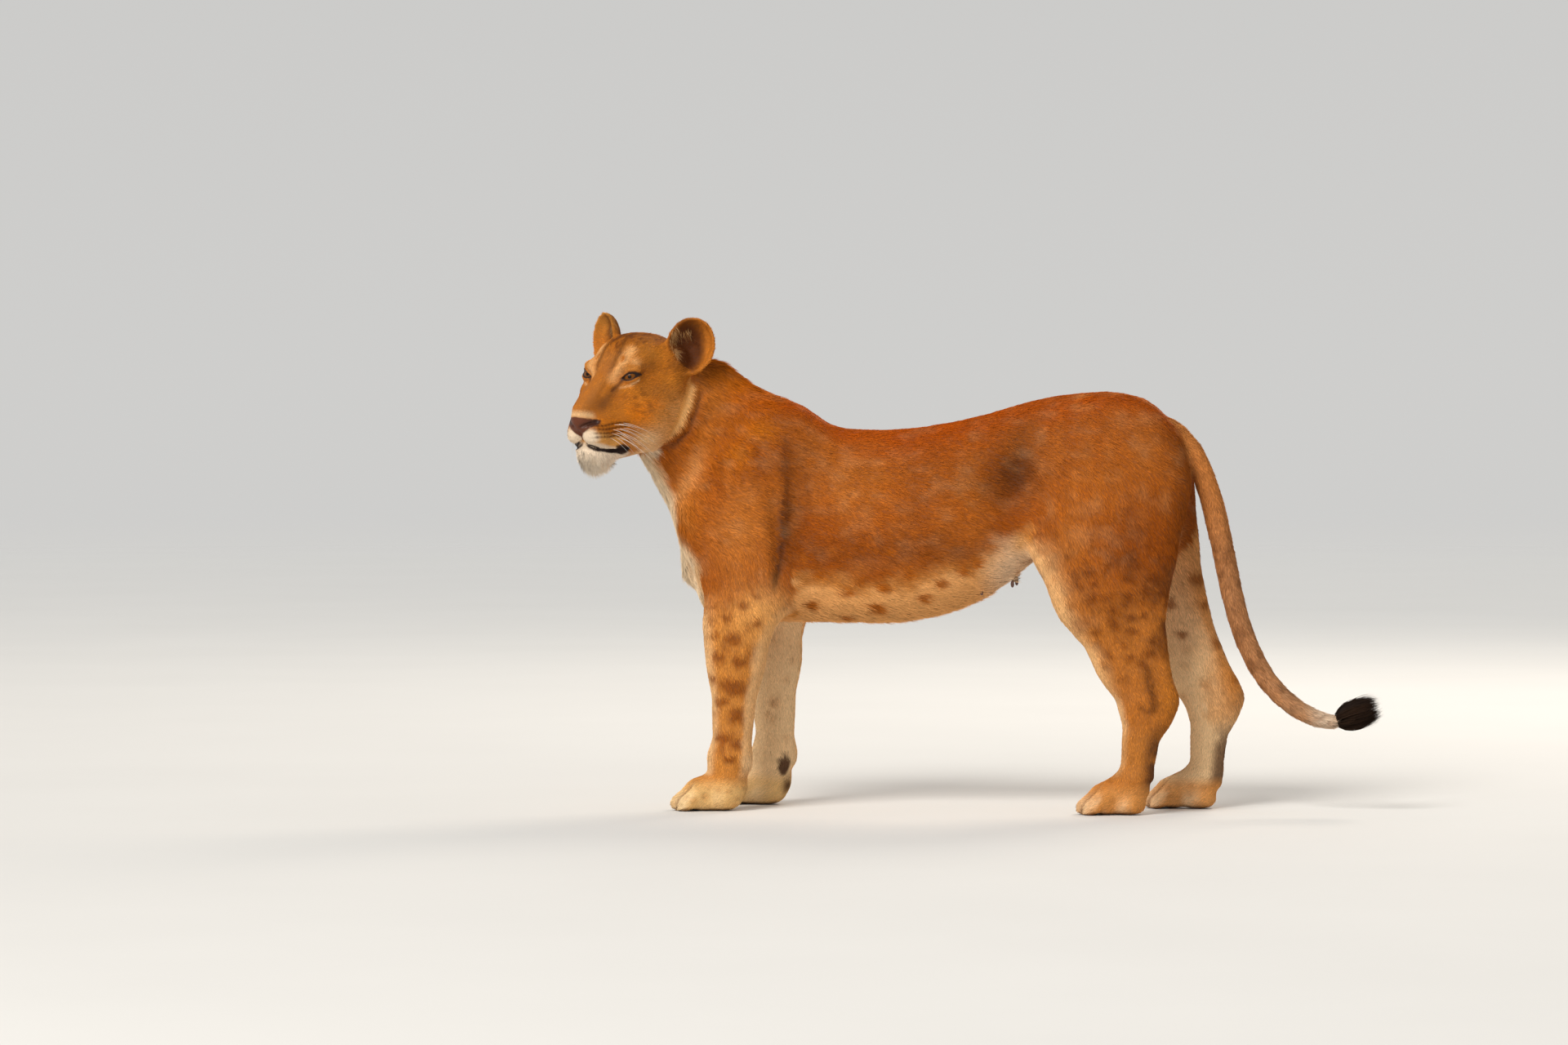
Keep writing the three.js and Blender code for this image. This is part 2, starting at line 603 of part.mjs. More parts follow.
// ---- swept forms: tail and long hair -----------------------------------------------------------------
// A tube through stations {at, wide, thick}: its first end is flat and its last ends in a point.
function sweep(stations, sides, across = V(0, 1, 0)) {
  const rings = stations.map(({ at, wide, thick }, i) => {
    const way = stations[Math.min(i + 1, stations.length - 1)].at.clone().sub(stations[Math.max(i - 1, 0)].at).normalize();
    const u = across.clone().addScaledVector(way, -across.dot(way)).normalize();
    const v = way.clone().cross(u);
    return Array.from({ length: sides }, (_, k) => {
      const a = ((k + 0.5) / sides) * 2 * Math.PI;
      return at.clone().addScaledVector(u, wide * Math.cos(a)).addScaledVector(v, thick * Math.sin(a));
    });
  });
  rings.pop();
  const points = [stations[0].at, ...rings.flat(), stations[stations.length - 1].at];
  const faces = [];
  const last = points.length - 1;
  for (let k = 0; k < sides; k++) {
    const next = (k + 1) % sides;
    faces.push([0, 1 + next, 1 + k]);
    for (let r = 0; r < rings.length - 1; r++) {
      const [a, b] = [1 + r * sides + k, 1 + r * sides + next];
      faces.push([a, b, b + sides], [a, b + sides, a + sides]);
    }
    const end = 1 + (rings.length - 1) * sides;
    faces.push([end + k, end + next, last]);
  }
  return solidOf(geometryOf({ points, faces }));
}

let seed = 7;
function random() {
  seed = (seed * 16807) % 2147483647;
  return seed / 2147483647;
}
const vary = (middle, spread) => middle + (random() * 2 - 1) * spread;

// One tapered lock of hair from a root, leaning to a way and bending towards another.
function lock(root, way, bend, length, wide, thick, sides = 4) {
  const steps = 3;
  const across = way.clone().cross(bend).normalize();
  const stations = Array.from({ length: steps + 1 }, (_, i) => {
    const t = i / steps;
    const at = root.clone().addScaledVector(way, length * t).addScaledVector(bend, length * 0.35 * t * t);
    const full = Math.sqrt(Math.max(0, 1 - t * t)) * (0.75 + 0.25 * Math.sin(Math.PI * Math.min(1, t * 1.6)));
    return { at, wide: wide * full, thick: thick * full };
  });
  return sweep(stations, sides, across);
}

// ---- flesh, parted ------------------------------------------------------------------------------------
const FLOOR = [V(0, 0, 0), V(0, 0, 1)];
const onFloor = (solid) => solid.intersect(beyond(...FLOOR, 0));
const NECK_CUT = [inHead(-168, 0, -50), V(-0.69, -0.58, 0.43)];
const CHEST_CUT = [V(-520, 0, 760), V(-0.88, 0, 0.48)];
const WAIST_CUT = [V(-189, 0, 600), V(1, 0, 0)];
const HIP_CUT = [V(150, 0, 760), V(1, 0, 0)];
const FORE_PAW_TOP = 88;
const HIND_PAW_TOP = 76;

const onFace = (p) => {
  const q = p.clone().applyMatrix4(TO_HEAD);
  return q.x > -30 ? 1.6 : q.z > 50 && Math.abs(q.y) > 70 ? 0.25 : 0.7;
};
const bodyFlesh = fleshIn(V(-880, -280, -60), V(680, 260, 1140), 12, 5200);
const headFlesh = fleshIn(V(-1010, -400, 720), V(-560, 120, 1180), 4.2, 3850, onFace);

const earPlanes = (side) =>
  [EAR_BASE, EAR_BACK].map(([at, way]) => [inHead(at.x, side * at.y, at.z), headWay(way.x, side * way.y, way.z)]);
let rest = part(bodyFlesh, NECK_CUT)[1];
for (const side of [-1, 1]) rest = part(rest, ...earPlanes(side))[1];

const nodes = {};
function take(name, ...planes) {
  [nodes[name], rest] = part(rest, ...planes);
}

for (const [side, word] of [[LEFT, "left"], [RIGHT, "right"]]) {
  const fore = FORE_SHIFT[side];
  take(
    `foreleg_upper_${word}`,
    [V(-500, side * 40, 428), V(0, side * 0.815, -0.577)],
    [V(-398, 0, 0), V(-1, 0, 0)],
    [V(0, side * 8, 0), V(0, side, 0)],
  );
  const back = HIND_SHIFT[side];
  take(
    `thigh_${word}`,
    [V(300, side * 28, 560), V(0, side * 0.898, -0.44)],
    [V(128, 0, 580), V(0.97, 0, -0.24)],
    [V(0, side * 8, 0), V(0, side, 0)],
  );
  const split = (upper, lower, ...plane) => ([nodes[lower], nodes[upper]] = part(nodes[upper], plane));
  split(`foreleg_upper_${word}`, `forearm_${word}`, V(0, 0, 392), V(0, 0, -1));
  split(`thigh_${word}`, `shank_${word}`, V(300 + back * 0.6, 0, 436), V(0.45, 0, -0.89));
  split(`shank_${word}`, `hind_foot_${word}`, V(410 + back * 1.15, 0, 214), V(-0.24, 0, -0.97));
  nodes[`forearm_${word}`] = part(nodes[`forearm_${word}`], [V(0, 0, FORE_PAW_TOP), V(0, 0, 1)])[0];
  nodes[`hind_foot_${word}`] = part(nodes[`hind_foot_${word}`], [V(0, 0, HIND_PAW_TOP), V(0, 0, 1)])[0];
  const pawIn = (x, top, wanted) => {
    const drawn = fleshIn(V(x - 150, side * 98 - 80, -40), V(x + 90, side * 98 + 80, top + 40), 5.5, wanted);
    return part(onFloor(drawn), [V(0, 0, top), V(0, 0, -1)])[0];
  };
  nodes[`fore_paw_${word}`] = pawIn(-580 + fore, FORE_PAW_TOP, 460);
  nodes[`hind_paw_${word}`] = pawIn(330 + back * 1.1, HIND_PAW_TOP, 420);
}
take("neck", CHEST_CUT);
take("hips", HIP_CUT);
take("abdomen", WAIST_CUT);
nodes.chest = rest;

// ---- head: ears, eyes and lids --------------------------------------------------------------------------
nodes.head = headFlesh;
for (const [side, word] of [[1, "left"], [-1, "right"]])
  [nodes[`ear_${word}`], nodes.head] = part(nodes.head, ...earPlanes(side));
nodes.head = part(nodes.head, NECK_CUT)[0];
const eyeBall = (side, radius) => {
  const ball = new THREE.SphereGeometry(radius, 18, 12);
  const at = inHead(EYE.x, side * EYE.y, EYE.z);
  return solidOf(ball.translate(at.x, at.y, at.z));
};
// The gap between the lids: an almond, higher at its outer corner, drawn out along the eye's own line of sight.
function slit(side) {
  const [long, tall] = EYE.slit;
  const almond = new THREE.Shape();
  almond.moveTo(-long / 2, -2);
  almond.quadraticCurveTo(-1, tall * 0.95, long / 2, 2);
  almond.quadraticCurveTo(2, -tall * 0.95, -long / 2, -2);
  const prism = new THREE.ExtrudeGeometry(almond, { depth: 60, bevelEnabled: false, curveSegments: 8 });
  const [out, up] = [EYE.outward, EYE.up].map(THREE.MathUtils.degToRad);
  const sight = V(Math.cos(out) * Math.cos(up), side * Math.sin(out) * Math.cos(up), Math.sin(up));
  const outer = V(0, 0, 1).cross(sight).multiplyScalar(side).normalize();
  const level = sight.clone().cross(outer).multiplyScalar(side).normalize();
  const slant = THREE.MathUtils.degToRad(EYE.slant);
  const along = outer.clone().multiplyScalar(Math.cos(slant)).addScaledVector(level, Math.sin(slant));
  const over = level.clone().multiplyScalar(Math.cos(slant)).addScaledVector(outer, -Math.sin(slant));
  const place = new THREE.Matrix4().makeBasis(along, over, sight).setPosition(EYE.x, side * EYE.y, EYE.z);
  prism.applyMatrix4(HEAD_FRAME.clone().multiply(place));
  if (place.determinant() < 0) {
    const index = [...Array(prism.attributes.position.count).keys()];
    prism.setIndex(index.map((_, i) => index[i - (i % 3) + (2 - (i % 3))]));
  }
  return solidOf(prism);
}
for (const [side, word] of [[1, "left"], [-1, "right"]]) {
  nodes.head = largest(nodes.head.subtract(eyeBall(side, EYE.radius + GAP * 1.1)).subtract(slit(side)));
  nodes[`eye_${word}`] = eyeBall(side, EYE.radius);
}

// ---- tail ---------------------------------------------------------------------------------------------------
const TAIL = [
  [424, 868, 34], [458, 846, 33], [492, 812, 30], [516, 768, 27.5], [538, 706, 27.5], [551, 651, 28], [563, 598, 27],
  [573, 549, 27], [584, 496, 26.5], [597, 444, 26], [614, 392, 26], [638, 340, 25.5], [664, 298, 24.5],
  [694, 264, 24], [732, 234, 23], [771, 214, 21.5], [805, 206, 20], [838, 208, 18], [862, 216, 14], [880, 224, 0],
].map(([x, z, r]) => ({ at: V(x, 0, z), wide: r, thick: r }));
const grown = (stations, by) => {
  const deeper = stations[0].at.clone().sub(stations[1].at).setLength(by).add(stations[0].at);
  return stations.map((s, i) => ({ at: i ? s.at : deeper, wide: s.wide + by, thick: s.thick + by }));
};
let tail = sweep(TAIL, 12);
nodes.hips = largest(nodes.hips.subtract(sweep(grown(TAIL, GAP * 1.1), 12)));
const TUFT_START = V(812, 0, 206);
const TUFT_WAY = V(0.95, 0, 0.3).normalize();
const TAIL_CUTS = { tail_upper: [V(566, 0, 590), V(-0.2, 0, 0.98)], tail_middle: [V(664, 0, 298), V(-0.6, 0, 0.8)], tail_lower: [V(800, 0, 207), V(-1, 0, 0.1)] };
for (const [name, [p, n]] of Object.entries(TAIL_CUTS)) [nodes[name], tail] = part(tail, [p, n]);
const tuft = [];
for (let ring = 0; ring < 3; ring++)
  for (let k = 0; k < 7; k++) {
    const a = ((k + ring * 0.5) / 7) * 2 * Math.PI;
    const out = V(0, Math.cos(a), Math.sin(a));
    const root = TUFT_START.clone().addScaledVector(TUFT_WAY, ring * 20).addScaledVector(out, 12 - ring * 3);
    const way = TUFT_WAY.clone().addScaledVector(out, vary(0.62 - ring * 0.1, 0.05)).normalize();
    const bend = out.clone().multiplyScalar(-1).addScaledVector(TUFT_WAY, 0.3);
    tuft.push(lock(root, way, bend, vary(86 - ring * 8, 7), 17, 10));
  }
nodes.tail_tip = largest(wasm.Manifold.union([tail, ...tuft]));

// ---- long hair of the chin, and the teats ----------------------------------------------------------------
const beard = [];
for (let row = 0; row < 4; row++)
  for (let k = 0; k < 6; k++) {
    const across = (k - 2.75 + (row % 2) * 0.5) / 2.75;
    const root = inHead(76 - row * 16 - across ** 2 * 10, across * (31 - row * 2), -180 + across ** 2 * 12);
    const way = headWay(-0.04 - row * 0.07, -across * 0.1, -1);
    beard.push(lock(root, way, headWay(-0.6, -across * 0.3, -0.1), vary(50 - Math.abs(across) * 14, 4), 11, 7));
  }
nodes.head = largest(wasm.Manifold.union([nodes.head, ...beard]));

const teats = [];
for (const side of [-1, 1])
  for (const [x, z] of [[39, 496], [94, 526]]) {
    const teat = new THREE.CapsuleGeometry(7, 16, 3, 8).rotateX(Math.PI / 2 - side * 0.25);
    teats.push(solidOf(teat.translate(x, side * 34, z)));
  }
nodes.abdomen = largest(wasm.Manifold.union([nodes.abdomen, ...teats]));

// ---- named nodes, each with its own material ---------------------------------------------------------------
const COAT = 0xb5762f;
const PALE = 0xd9c09a;
const DARK = 0x1c1512;
const AMBER = 0x9a5f1c;
const look = (color, roughness) => new THREE.MeshStandardMaterial({ color, roughness, metalness: 0 });
const colourOf = (name) => (name.startsWith("eye") ? AMBER : name === "tail_tip" ? DARK : name.includes("paw") ? PALE : COAT);

const lioness = new THREE.Group();
for (const [name, solid] of Object.entries(nodes)) {
  const mesh = new THREE.Mesh(geometryFrom(solid), look(colourOf(name), name.startsWith("eye") ? 0.15 : 0.9));
  mesh.name = name;
  lioness.add(mesh);
}

const box = new THREE.Box3().setFromObject(lioness);
const middle = box.getCenter(V(0, 0, 0));
for (const mesh of lioness.children) mesh.geometry.translate(-middle.x, -middle.y, -box.min.z);

export default lioness;
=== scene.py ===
# A life-size lioness standing still on a pale floor: one skin over the flesh, a short coat of small
# closed tufts that follow its lie, long hair at the chin, the ears and the tail's tip, eyes and whiskers.
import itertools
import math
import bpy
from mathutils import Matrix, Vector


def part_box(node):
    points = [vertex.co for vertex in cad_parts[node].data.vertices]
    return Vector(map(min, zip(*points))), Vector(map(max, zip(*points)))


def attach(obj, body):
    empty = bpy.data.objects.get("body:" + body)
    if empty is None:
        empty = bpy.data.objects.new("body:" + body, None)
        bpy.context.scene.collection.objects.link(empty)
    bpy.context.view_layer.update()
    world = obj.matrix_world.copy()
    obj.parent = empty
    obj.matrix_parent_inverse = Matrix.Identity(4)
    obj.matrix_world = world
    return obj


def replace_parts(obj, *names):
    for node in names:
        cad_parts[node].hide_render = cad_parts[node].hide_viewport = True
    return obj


bl_info = {
    "name": "Lioness",
    "version": (1, 0, 0),
    "blender": (4, 5, 0),
    "location": "View3D > Sidebar > Lioness",
    "description": "Dresses the solids of a standing lioness with skin, coat, eyes and whiskers",
    "category": "Object",
}

import bmesh
import bpy
import numpy as np
from mathutils import Matrix, Vector
from mathutils.bvhtree import BVHTree

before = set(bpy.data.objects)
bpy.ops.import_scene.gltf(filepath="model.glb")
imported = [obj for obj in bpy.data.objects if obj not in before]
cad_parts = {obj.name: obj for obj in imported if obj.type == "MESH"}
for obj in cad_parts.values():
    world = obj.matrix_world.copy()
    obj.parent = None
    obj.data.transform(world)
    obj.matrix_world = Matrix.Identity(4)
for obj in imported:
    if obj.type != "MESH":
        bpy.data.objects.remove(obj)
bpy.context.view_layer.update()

# Working figures are in millimetres from the point on the floor where the solids were laid out. There, in
# metres, the abdomen starts at ABDOMEN_X and the middle of the left eye lies at EYE_Y.
ABDOMEN_X, EYE_Y = -0.18885, -0.19652
_eye = [np.array(c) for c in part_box("eye_left")]
OFFSET = np.array([ABDOMEN_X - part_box("abdomen")[0].x, EYE_Y - (_eye[0][1] + _eye[1][1]) / 2, 0.0])


def to_work(points):
    return (np.asarray(points) + OFFSET) * 1000.0


def to_row(points):
    return np.asarray(points) / 1000.0 - OFFSET


def row_point(at):
    return Vector(to_row(at))


# The head's own frame: origin between the eyes, +X to the nose, +Y to her left, +Z up.
_head = (
    Matrix.Translation((-801.0, -172.0, 984.0))
    @ Matrix.Rotation(math.radians(3.5), 4, "Y")
    @ Matrix.Rotation(math.radians(243.0), 4, "Z")
)
HEAD_TURN = np.array(_head.to_3x3())
HEAD_AT = np.array(_head.translation)


def to_head(points):
    return (np.asarray(points) - HEAD_AT) @ HEAD_TURN


def from_head(points):
    return np.asarray(points) @ HEAD_TURN.T + HEAD_AT


EYE_AT = np.array([0.0, 54.0, 0.0])
EYE_RADIUS = 20.5
LID_HALF, UPPER_LID, LOWER_LID = 20.5, 6.2, 6.6  # the gap between the lids: half its length, its rise and fall
EAR_ROOT = np.array([-128.0, 92.0, 54.0])
SIDES = (-1, 1)  # signs of y
FORE_SHIFT = {-1: 0.0, 1: 78.0}
HIND_SHIFT = {-1: 0.0, 1: 140.0}
# Each paw: x and y of its middle, and its size beside a forepaw.
PAWS = [(-650 + FORE_SHIFT[s], s * 98, 1.0) for s in SIDES]
PAWS += [(266 + HIND_SHIFT[s], s * 100, 0.93) for s in SIDES]
TAIL_PATH = np.array(
    [(424, 868), (492, 812), (516, 768), (538, 706), (551, 651), (563, 598), (573, 549), (584, 496), (597, 444),
     (614, 392), (638, 340), (664, 298), (694, 264), (732, 234), (771, 214), (805, 206), (838, 216), (880, 230)],
    dtype=float,
)
TUFT_START = np.array([812.0, 0.0, 206.0])
TUFT_WAY = np.array([0.954, 0.0, 0.301])


# ---- small tools ------------------------------------------------------------------------------------
def unit(v):
    return v / np.maximum(np.linalg.norm(v, axis=-1, keepdims=True), 1e-12)


def ramp(x, low, high):
    t = np.clip((x - low) / (high - low), 0.0, 1.0)
    return t * t * (3.0 - 2.0 * t)


def hump(x, middle, reach):
    return np.exp(-(((x - middle) / reach) ** 2))


def grid_key(cell, seed):
    """A number for each cell of a grid, as if drawn at random."""
    key = cell[:, 0] * 73856093 ^ cell[:, 1] * 19349663 ^ cell[:, 2] * 83492791 ^ (seed * 2654435761)
    return (key ^ (key >> 13)) * 1274126177


def cloud(points, size, seed=0):
    """Smooth noise from -1 to 1 with patches of about the given size."""
    q = points / np.asarray(size, dtype=float)
    low = np.floor(q).astype(np.int64)
    f = q - low
    f = f * f * (3.0 - 2.0 * f)
    total = np.zeros(len(points))
    for corner in itertools.product((0, 1), repeat=3):
        key = grid_key(low + corner, seed)
        value = ((key ^ (key >> 16)) & 0xFFFF) / 32767.5 - 1.0
        a, b, c = (f[:, i] if far else 1 - f[:, i] for i, far in enumerate(corner))
        total += a * b * c * value
    return total


def cells(points, size, seed):
    """Distance to the nearest point of a jittered grid, as a share of the grid's step."""
    q = points / np.asarray(size, dtype=float)
    low = np.floor(q).astype(np.int64)
    best = np.full(len(points), 9.0)
    for step in itertools.product((-1, 0, 1), repeat=3):
        cell = low + step
        key = grid_key(cell, seed)
        jitter = np.stack([((key ^ (key >> s)) & 0x3FF) / 1023.0 for s in (11, 17, 23)], axis=1)
        best = np.minimum(best, np.linalg.norm(cell + 0.15 + 0.7 * jitter - q, axis=1))
    return best


def mix(a, b, t):
    t = np.asarray(t)[:, None]
    return a * (1 - t) + np.asarray(b) * t


def to_segment(points, a, b):
    """Distance of points to the line from a to b."""
    a, b = np.asarray(a, float), np.asarray(b, float)
    ab = b - a
    t = np.clip(((points - a) @ ab) / (ab @ ab), 0, 1)
    return np.linalg.norm(points - a - t[:, None] * ab, axis=1)


def gauge(points, at, reach):
    """Distance of points from a place, as a share of the reach along each axis."""
    return np.linalg.norm((points - at) / reach, axis=1)


def near(points, at, reach):
    return hump(gauge(points, at, reach), 0, 1)


def mirrored(q):
    """Points with both sides brought to the side of +Y."""
    return np.column_stack([q[:, 0], np.abs(q[:, 1]), q[:, 2]])


def chain(q, line):
    """Distance of points of both sides to a line through points on the side of +Y."""
    m = mirrored(q)
    return np.min([to_segment(m, a, b) for a, b in zip(line, line[1:])], axis=0)


def eye_at(side):
    return EYE_AT * [1, side, 1]


def arrays_of(mesh):
    points = np.empty(len(mesh.vertices) * 3)
    mesh.vertices.foreach_get("co", points)
    mesh.calc_loop_triangles()
    tris = np.empty(len(mesh.loop_triangles) * 3, dtype=np.int64)
    mesh.loop_triangles.foreach_get("vertices", tris)
    return points.reshape(-1, 3), tris.reshape(-1, 3)


def normals_of(points, tris):
    a, b, c = (points[tris[:, i]] for i in range(3))
    n = np.cross(b - a, c - a)
    out = np.zeros_like(points)
    for i in range(3):
        for k in range(3):
            out[:, k] += np.bincount(tris[:, i], weights=n[:, k], minlength=len(points))
    return unit(out)


def edges_of(tris):
    e = np.sort(np.concatenate([tris[:, [0, 1]], tris[:, [1, 2]], tris[:, [2, 0]]]), axis=1)
    return np.unique(e, axis=0)


def spread(values, edges, rounds, share=0.5):
    """Each vertex's values move towards the mean of its neighbours'."""
    values = np.array(values, dtype=float)
    flat = values.ndim == 1
    if flat:
        values = values[:, None]
    share = np.broadcast_to(np.asarray(share, dtype=float), (len(values),))[:, None]
    n = len(values)
    count = np.maximum(np.bincount(edges.ravel(), minlength=n), 1)[:, None]
    for _ in range(rounds):
        total = np.stack(
            [
                np.bincount(edges[:, 0], weights=values[edges[:, 1], k], minlength=n)
                + np.bincount(edges[:, 1], weights=values[edges[:, 0], k], minlength=n)
                for k in range(values.shape[1])
            ],
            axis=1,
        )
        values += share * (total / count - values)
    return values[:, 0] if flat else values


def add_object(name, mesh):
    obj = bpy.data.objects.new(name, mesh)
    bpy.context.scene.collection.objects.link(obj)
    return obj


def keep(obj):
    """The piece rides on the still body."""
    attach(obj, "root")
    return obj


# ---- the flesh, as one surface --------------------------------------------------------------------------
FLESH = [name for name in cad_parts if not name.startswith("eye")]
SOLIDS = []  # (points, triangles) of each node in working figures
for _name in FLESH:
    _points, _tris = arrays_of(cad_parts[_name].data)
    SOLIDS.append((to_work(_points), _tris))
_starts = np.cumsum([0] + [len(p) for p, _ in SOLIDS])
SOLID_POINTS = np.concatenate([p for p, _ in SOLIDS])
SOLID_TRIS = np.concatenate([t + s for (_, t), s in zip(SOLIDS, _starts)])
SOLID_NODE = np.concatenate([np.full(len(t), i) for i, (_, t) in enumerate(SOLIDS)])


def joined_flesh():
    """Copies of the flesh solids in one mesh, without the long hair, with the eye sockets filled."""
    whole = bmesh.new()
    for name in FLESH:
        if name == "tail_tip":
            continue
        bm = bmesh.new()
        bm.from_mesh(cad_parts[name].data)
        bmesh.ops.remove_doubles(bm, verts=bm.verts, dist=1e-6)
        if name == "head":
            level = row_point(from_head([40.0, 0.0, -203.0]))
            down = Vector(HEAD_TURN @ np.array([0.0, 0.0, -1.0]))
            cut = bmesh.ops.bisect_plane(
                bm, geom=bm.verts[:] + bm.edges[:] + bm.faces[:], plane_co=level, plane_no=down, clear_outer=True
            )
            open_edges = [e for e in cut["geom_cut"] if isinstance(e, bmesh.types.BMEdge) and e.is_boundary]
            bmesh.ops.holes_fill(bm, edges=open_edges, sides=0)
        mesh = mesh_of(bm, "copy")
        whole.from_mesh(mesh)
        bpy.data.meshes.remove(mesh)
    for side in SIDES:
        at = row_point(from_head(eye_at(side)))
        bmesh.ops.create_icosphere(whole, subdivisions=3, radius=0.0246, matrix=Matrix.Translation(at))
    for along, radius in ((0, 19), (22, 15), (44, 10)):
        at = row_point(TUFT_START + TUFT_WAY * along)
        bmesh.ops.create_icosphere(whole, subdivisions=2, radius=radius / 1000, matrix=Matrix.Translation(at))
    return mesh_of(whole, "flesh")


def with_modifier(obj, kind, **settings):
    """The object's mesh after one modifier."""
    modifier = obj.modifiers.new(kind, kind)
    for key, value in settings.items():
        setattr(modifier, key, value)
    graph = bpy.context.evaluated_depsgraph_get()
    mesh = bpy.data.meshes.new_from_object(obj.evaluated_get(graph))
    obj.modifiers.clear()
    return mesh


def in_face(points):
    """How far a point belongs to the face, from 0 to 1."""
    x, y, z = to_head(points).T
    return ramp(x, -60, -40) * (np.abs(y) < 110) * ramp(z, -230, -215) * (z < 90)


def build_skin_shape():
    """Points and triangles of the skin in working figures, still plain."""
    obj = add_object("skin_draft", joined_flesh())
    dense = with_modifier(obj, "REMESH", mode="VOXEL", voxel_size=0.0042)
    points, tris = arrays_of(dense)
    points = to_work(points)
    edges = edges_of(tris)
    face = in_face(points)
    x, y, z = to_head(points).T
    height = points[:, 2]
    on_ear = (np.abs(y) > 78) & (z > 40) & (x > -185) & (x < -60)
    head = ramp(x, -190, -120) * ramp(height, 700, 760)
    share = 0.55 - 0.35 * head - 0.1 * face
    share = np.where(on_ear, 0.12, share)
    share = np.where(height < 110, 0.22, share)
    rounds, rounds_back = 42, 14
    smooth = spread(points, edges, rounds, share)
    # Back out to where the solids' surface runs on average.
    normals = normals_of(smooth, tris)
    gap = np.einsum("ij,ij->i", points - smooth, normals)
    gap = spread(np.clip(gap, -8, 8), edges, rounds_back)
    smooth += normals * gap[:, None]
    to_mesh(dense, to_row(smooth))
    obj.data = dense
    group = obj.vertex_groups.new(name="fine")
    keep_fine = np.maximum.reduce([head * 0.8, face, on_ear.astype(float), (height < 95).astype(float)])
    for level in (0.2, 0.5, 0.8, 1.0):
        chosen = np.nonzero((keep_fine > level - 0.3) & (keep_fine <= level))[0]
        if len(chosen):
            group.add(chosen.tolist(), level, "REPLACE")
    thinned = with_modifier(
        obj, "DECIMATE", ratio=0.29, vertex_group="fine", invert_vertex_group=True, vertex_group_factor=12.0
    )
    bpy.data.objects.remove(obj)
    return thinned


def to_mesh(mesh, points):
    mesh.vertices.foreach_set("co", np.asarray(points, dtype=np.float32).ravel())
    mesh.update()


# ---- where a point of the skin is, and how the coat lies there ------------------------------------------------
class Skin:
    """The skin's mesh in working figures, with what the coat needs to know at each of its vertices."""

    def __init__(self, points, tris):
        self.points, self.tris = points, tris
        self.edges = edges_of(tris)
        self.measure()

    def measure(self):
        self.normals = normals_of(self.points, self.tris)

    def move(self, by):
        self.points = self.points + by
        self.measure()


def nearest_nodes(points):
    tree = BVHTree.FromPolygons(SOLID_POINTS.tolist(), SOLID_TRIS.tolist())
    found = np.array([tree.find_nearest(Vector(p))[2] for p in points])
    return SOLID_NODE[found]


def refine(mesh, chosen):
    """Halves the edges of the chosen faces."""
    bm = bmesh.new()
    bm.from_mesh(mesh)
    bm.verts.ensure_lookup_table()
    edges = [e for e in bm.edges if chosen[e.verts[0].index] and chosen[e.verts[1].index]]
    bmesh.ops.subdivide_edges(bm, edges=edges, cuts=1)
    bmesh.ops.triangulate(bm, faces=[f for f in bm.faces if len(f.verts) > 3])
    bm.to_mesh(mesh)
    bm.free()


def eye_frame(side):
    """Columns: along the lids, up across them, and out along the line of sight, in the head's frame."""
    out, up, slant = (math.radians(v) for v in (26, 4, 12))
    sight = np.array([math.cos(out) * math.cos(up), side * math.sin(out) * math.cos(up), math.sin(up)])
    outer = unit(np.cross([0, 0, 1], sight) * side)
    level = unit(np.cross(sight, outer) * side)
    along = outer * math.cos(slant) + level * math.sin(slant)
    over = level * math.cos(slant) - outer * math.sin(slant)
    return np.stack([along, over, sight], axis=1)


def lid_gap(a, b):
    """How far a point is outside the gap between the lids, in millimetres; along the eye a, across it b."""
    t = np.clip(a / LID_HALF, -1.25, 1.25)
    upper = UPPER_LID * (1 - t * t) * (1 + 0.12 * t) + 2.0 * t
    lower = -LOWER_LID * (1 - t * t) * (1 - 0.15 * t) + 2.0 * t
    return np.maximum(np.maximum(b - upper, lower - b) * 0.93, (np.abs(a) - LID_HALF) * 0.6)


def carve_lids(q):
    """Shapes the lids round both eyes on points in the head's frame."""
    inside, margin, full = EYE_RADIUS - 5.0, EYE_RADIUS + 1.0, EYE_RADIUS + 4.6
    for side in SIDES:
        turn = eye_frame(side)
        local = (q - eye_at(side)) @ turn
        a, b, c = local.T
        reach = np.hypot(a, b)
        here = (c > 2) & (reach < 40) & (q[:, 0] > -40)
        s = lid_gap(a, b)
        outer = margin + (full - margin) * ramp(s, 0, 6.5)
        radius = np.where(s < 0, inside + (margin - inside) * ramp(s, -2.2, -0.1), outer)
        fold = b - (UPPER_LID * (1 - (a / 22) ** 2) + 8.5)
        radius -= 1.6 * hump(fold, 0, 1.8) * ramp(24 - np.abs(a), 0, 6)
        length = np.linalg.norm(local, axis=1)
        wanted = local * (radius / np.maximum(length, 1e-6))[:, None]
        share = np.where(here, 1 - ramp(reach, 20, 32), 0.0) * np.where(s < 1.5, 1.0, 0.9)
        share = np.where(here & (s < 3), np.maximum(share, 1 - ramp(reach, 23, 30)), share)
        local = local + share[:, None] * (wanted - local)
        q = np.where(here[:, None], local @ turn.T + eye_at(side), q)
    return q


# Lines on the left of her face, in the head's frame.
MOUTH = [(96, 0, -154), (90, 14, -160), (84, 25, -164), (57, 41, -167), (32, 50, -166), (8, 62, -160)]
LIP_FRONT = [(99, 0, -151), (95, 12, -155), (90, 24, -160), (76, 33, -165)]
PHILTRUM = [(118, 0, -134), (96, 0, -154)]
NOSTRIL = [(124, 9, -120), (116, 20, -112), (98, 35, -103)]
RUFF_EDGE = [(-152, 119, -12), (-134, 121, -56), (-116, 115, -99), (-94, 100, -130), (-68, 86, -150)]


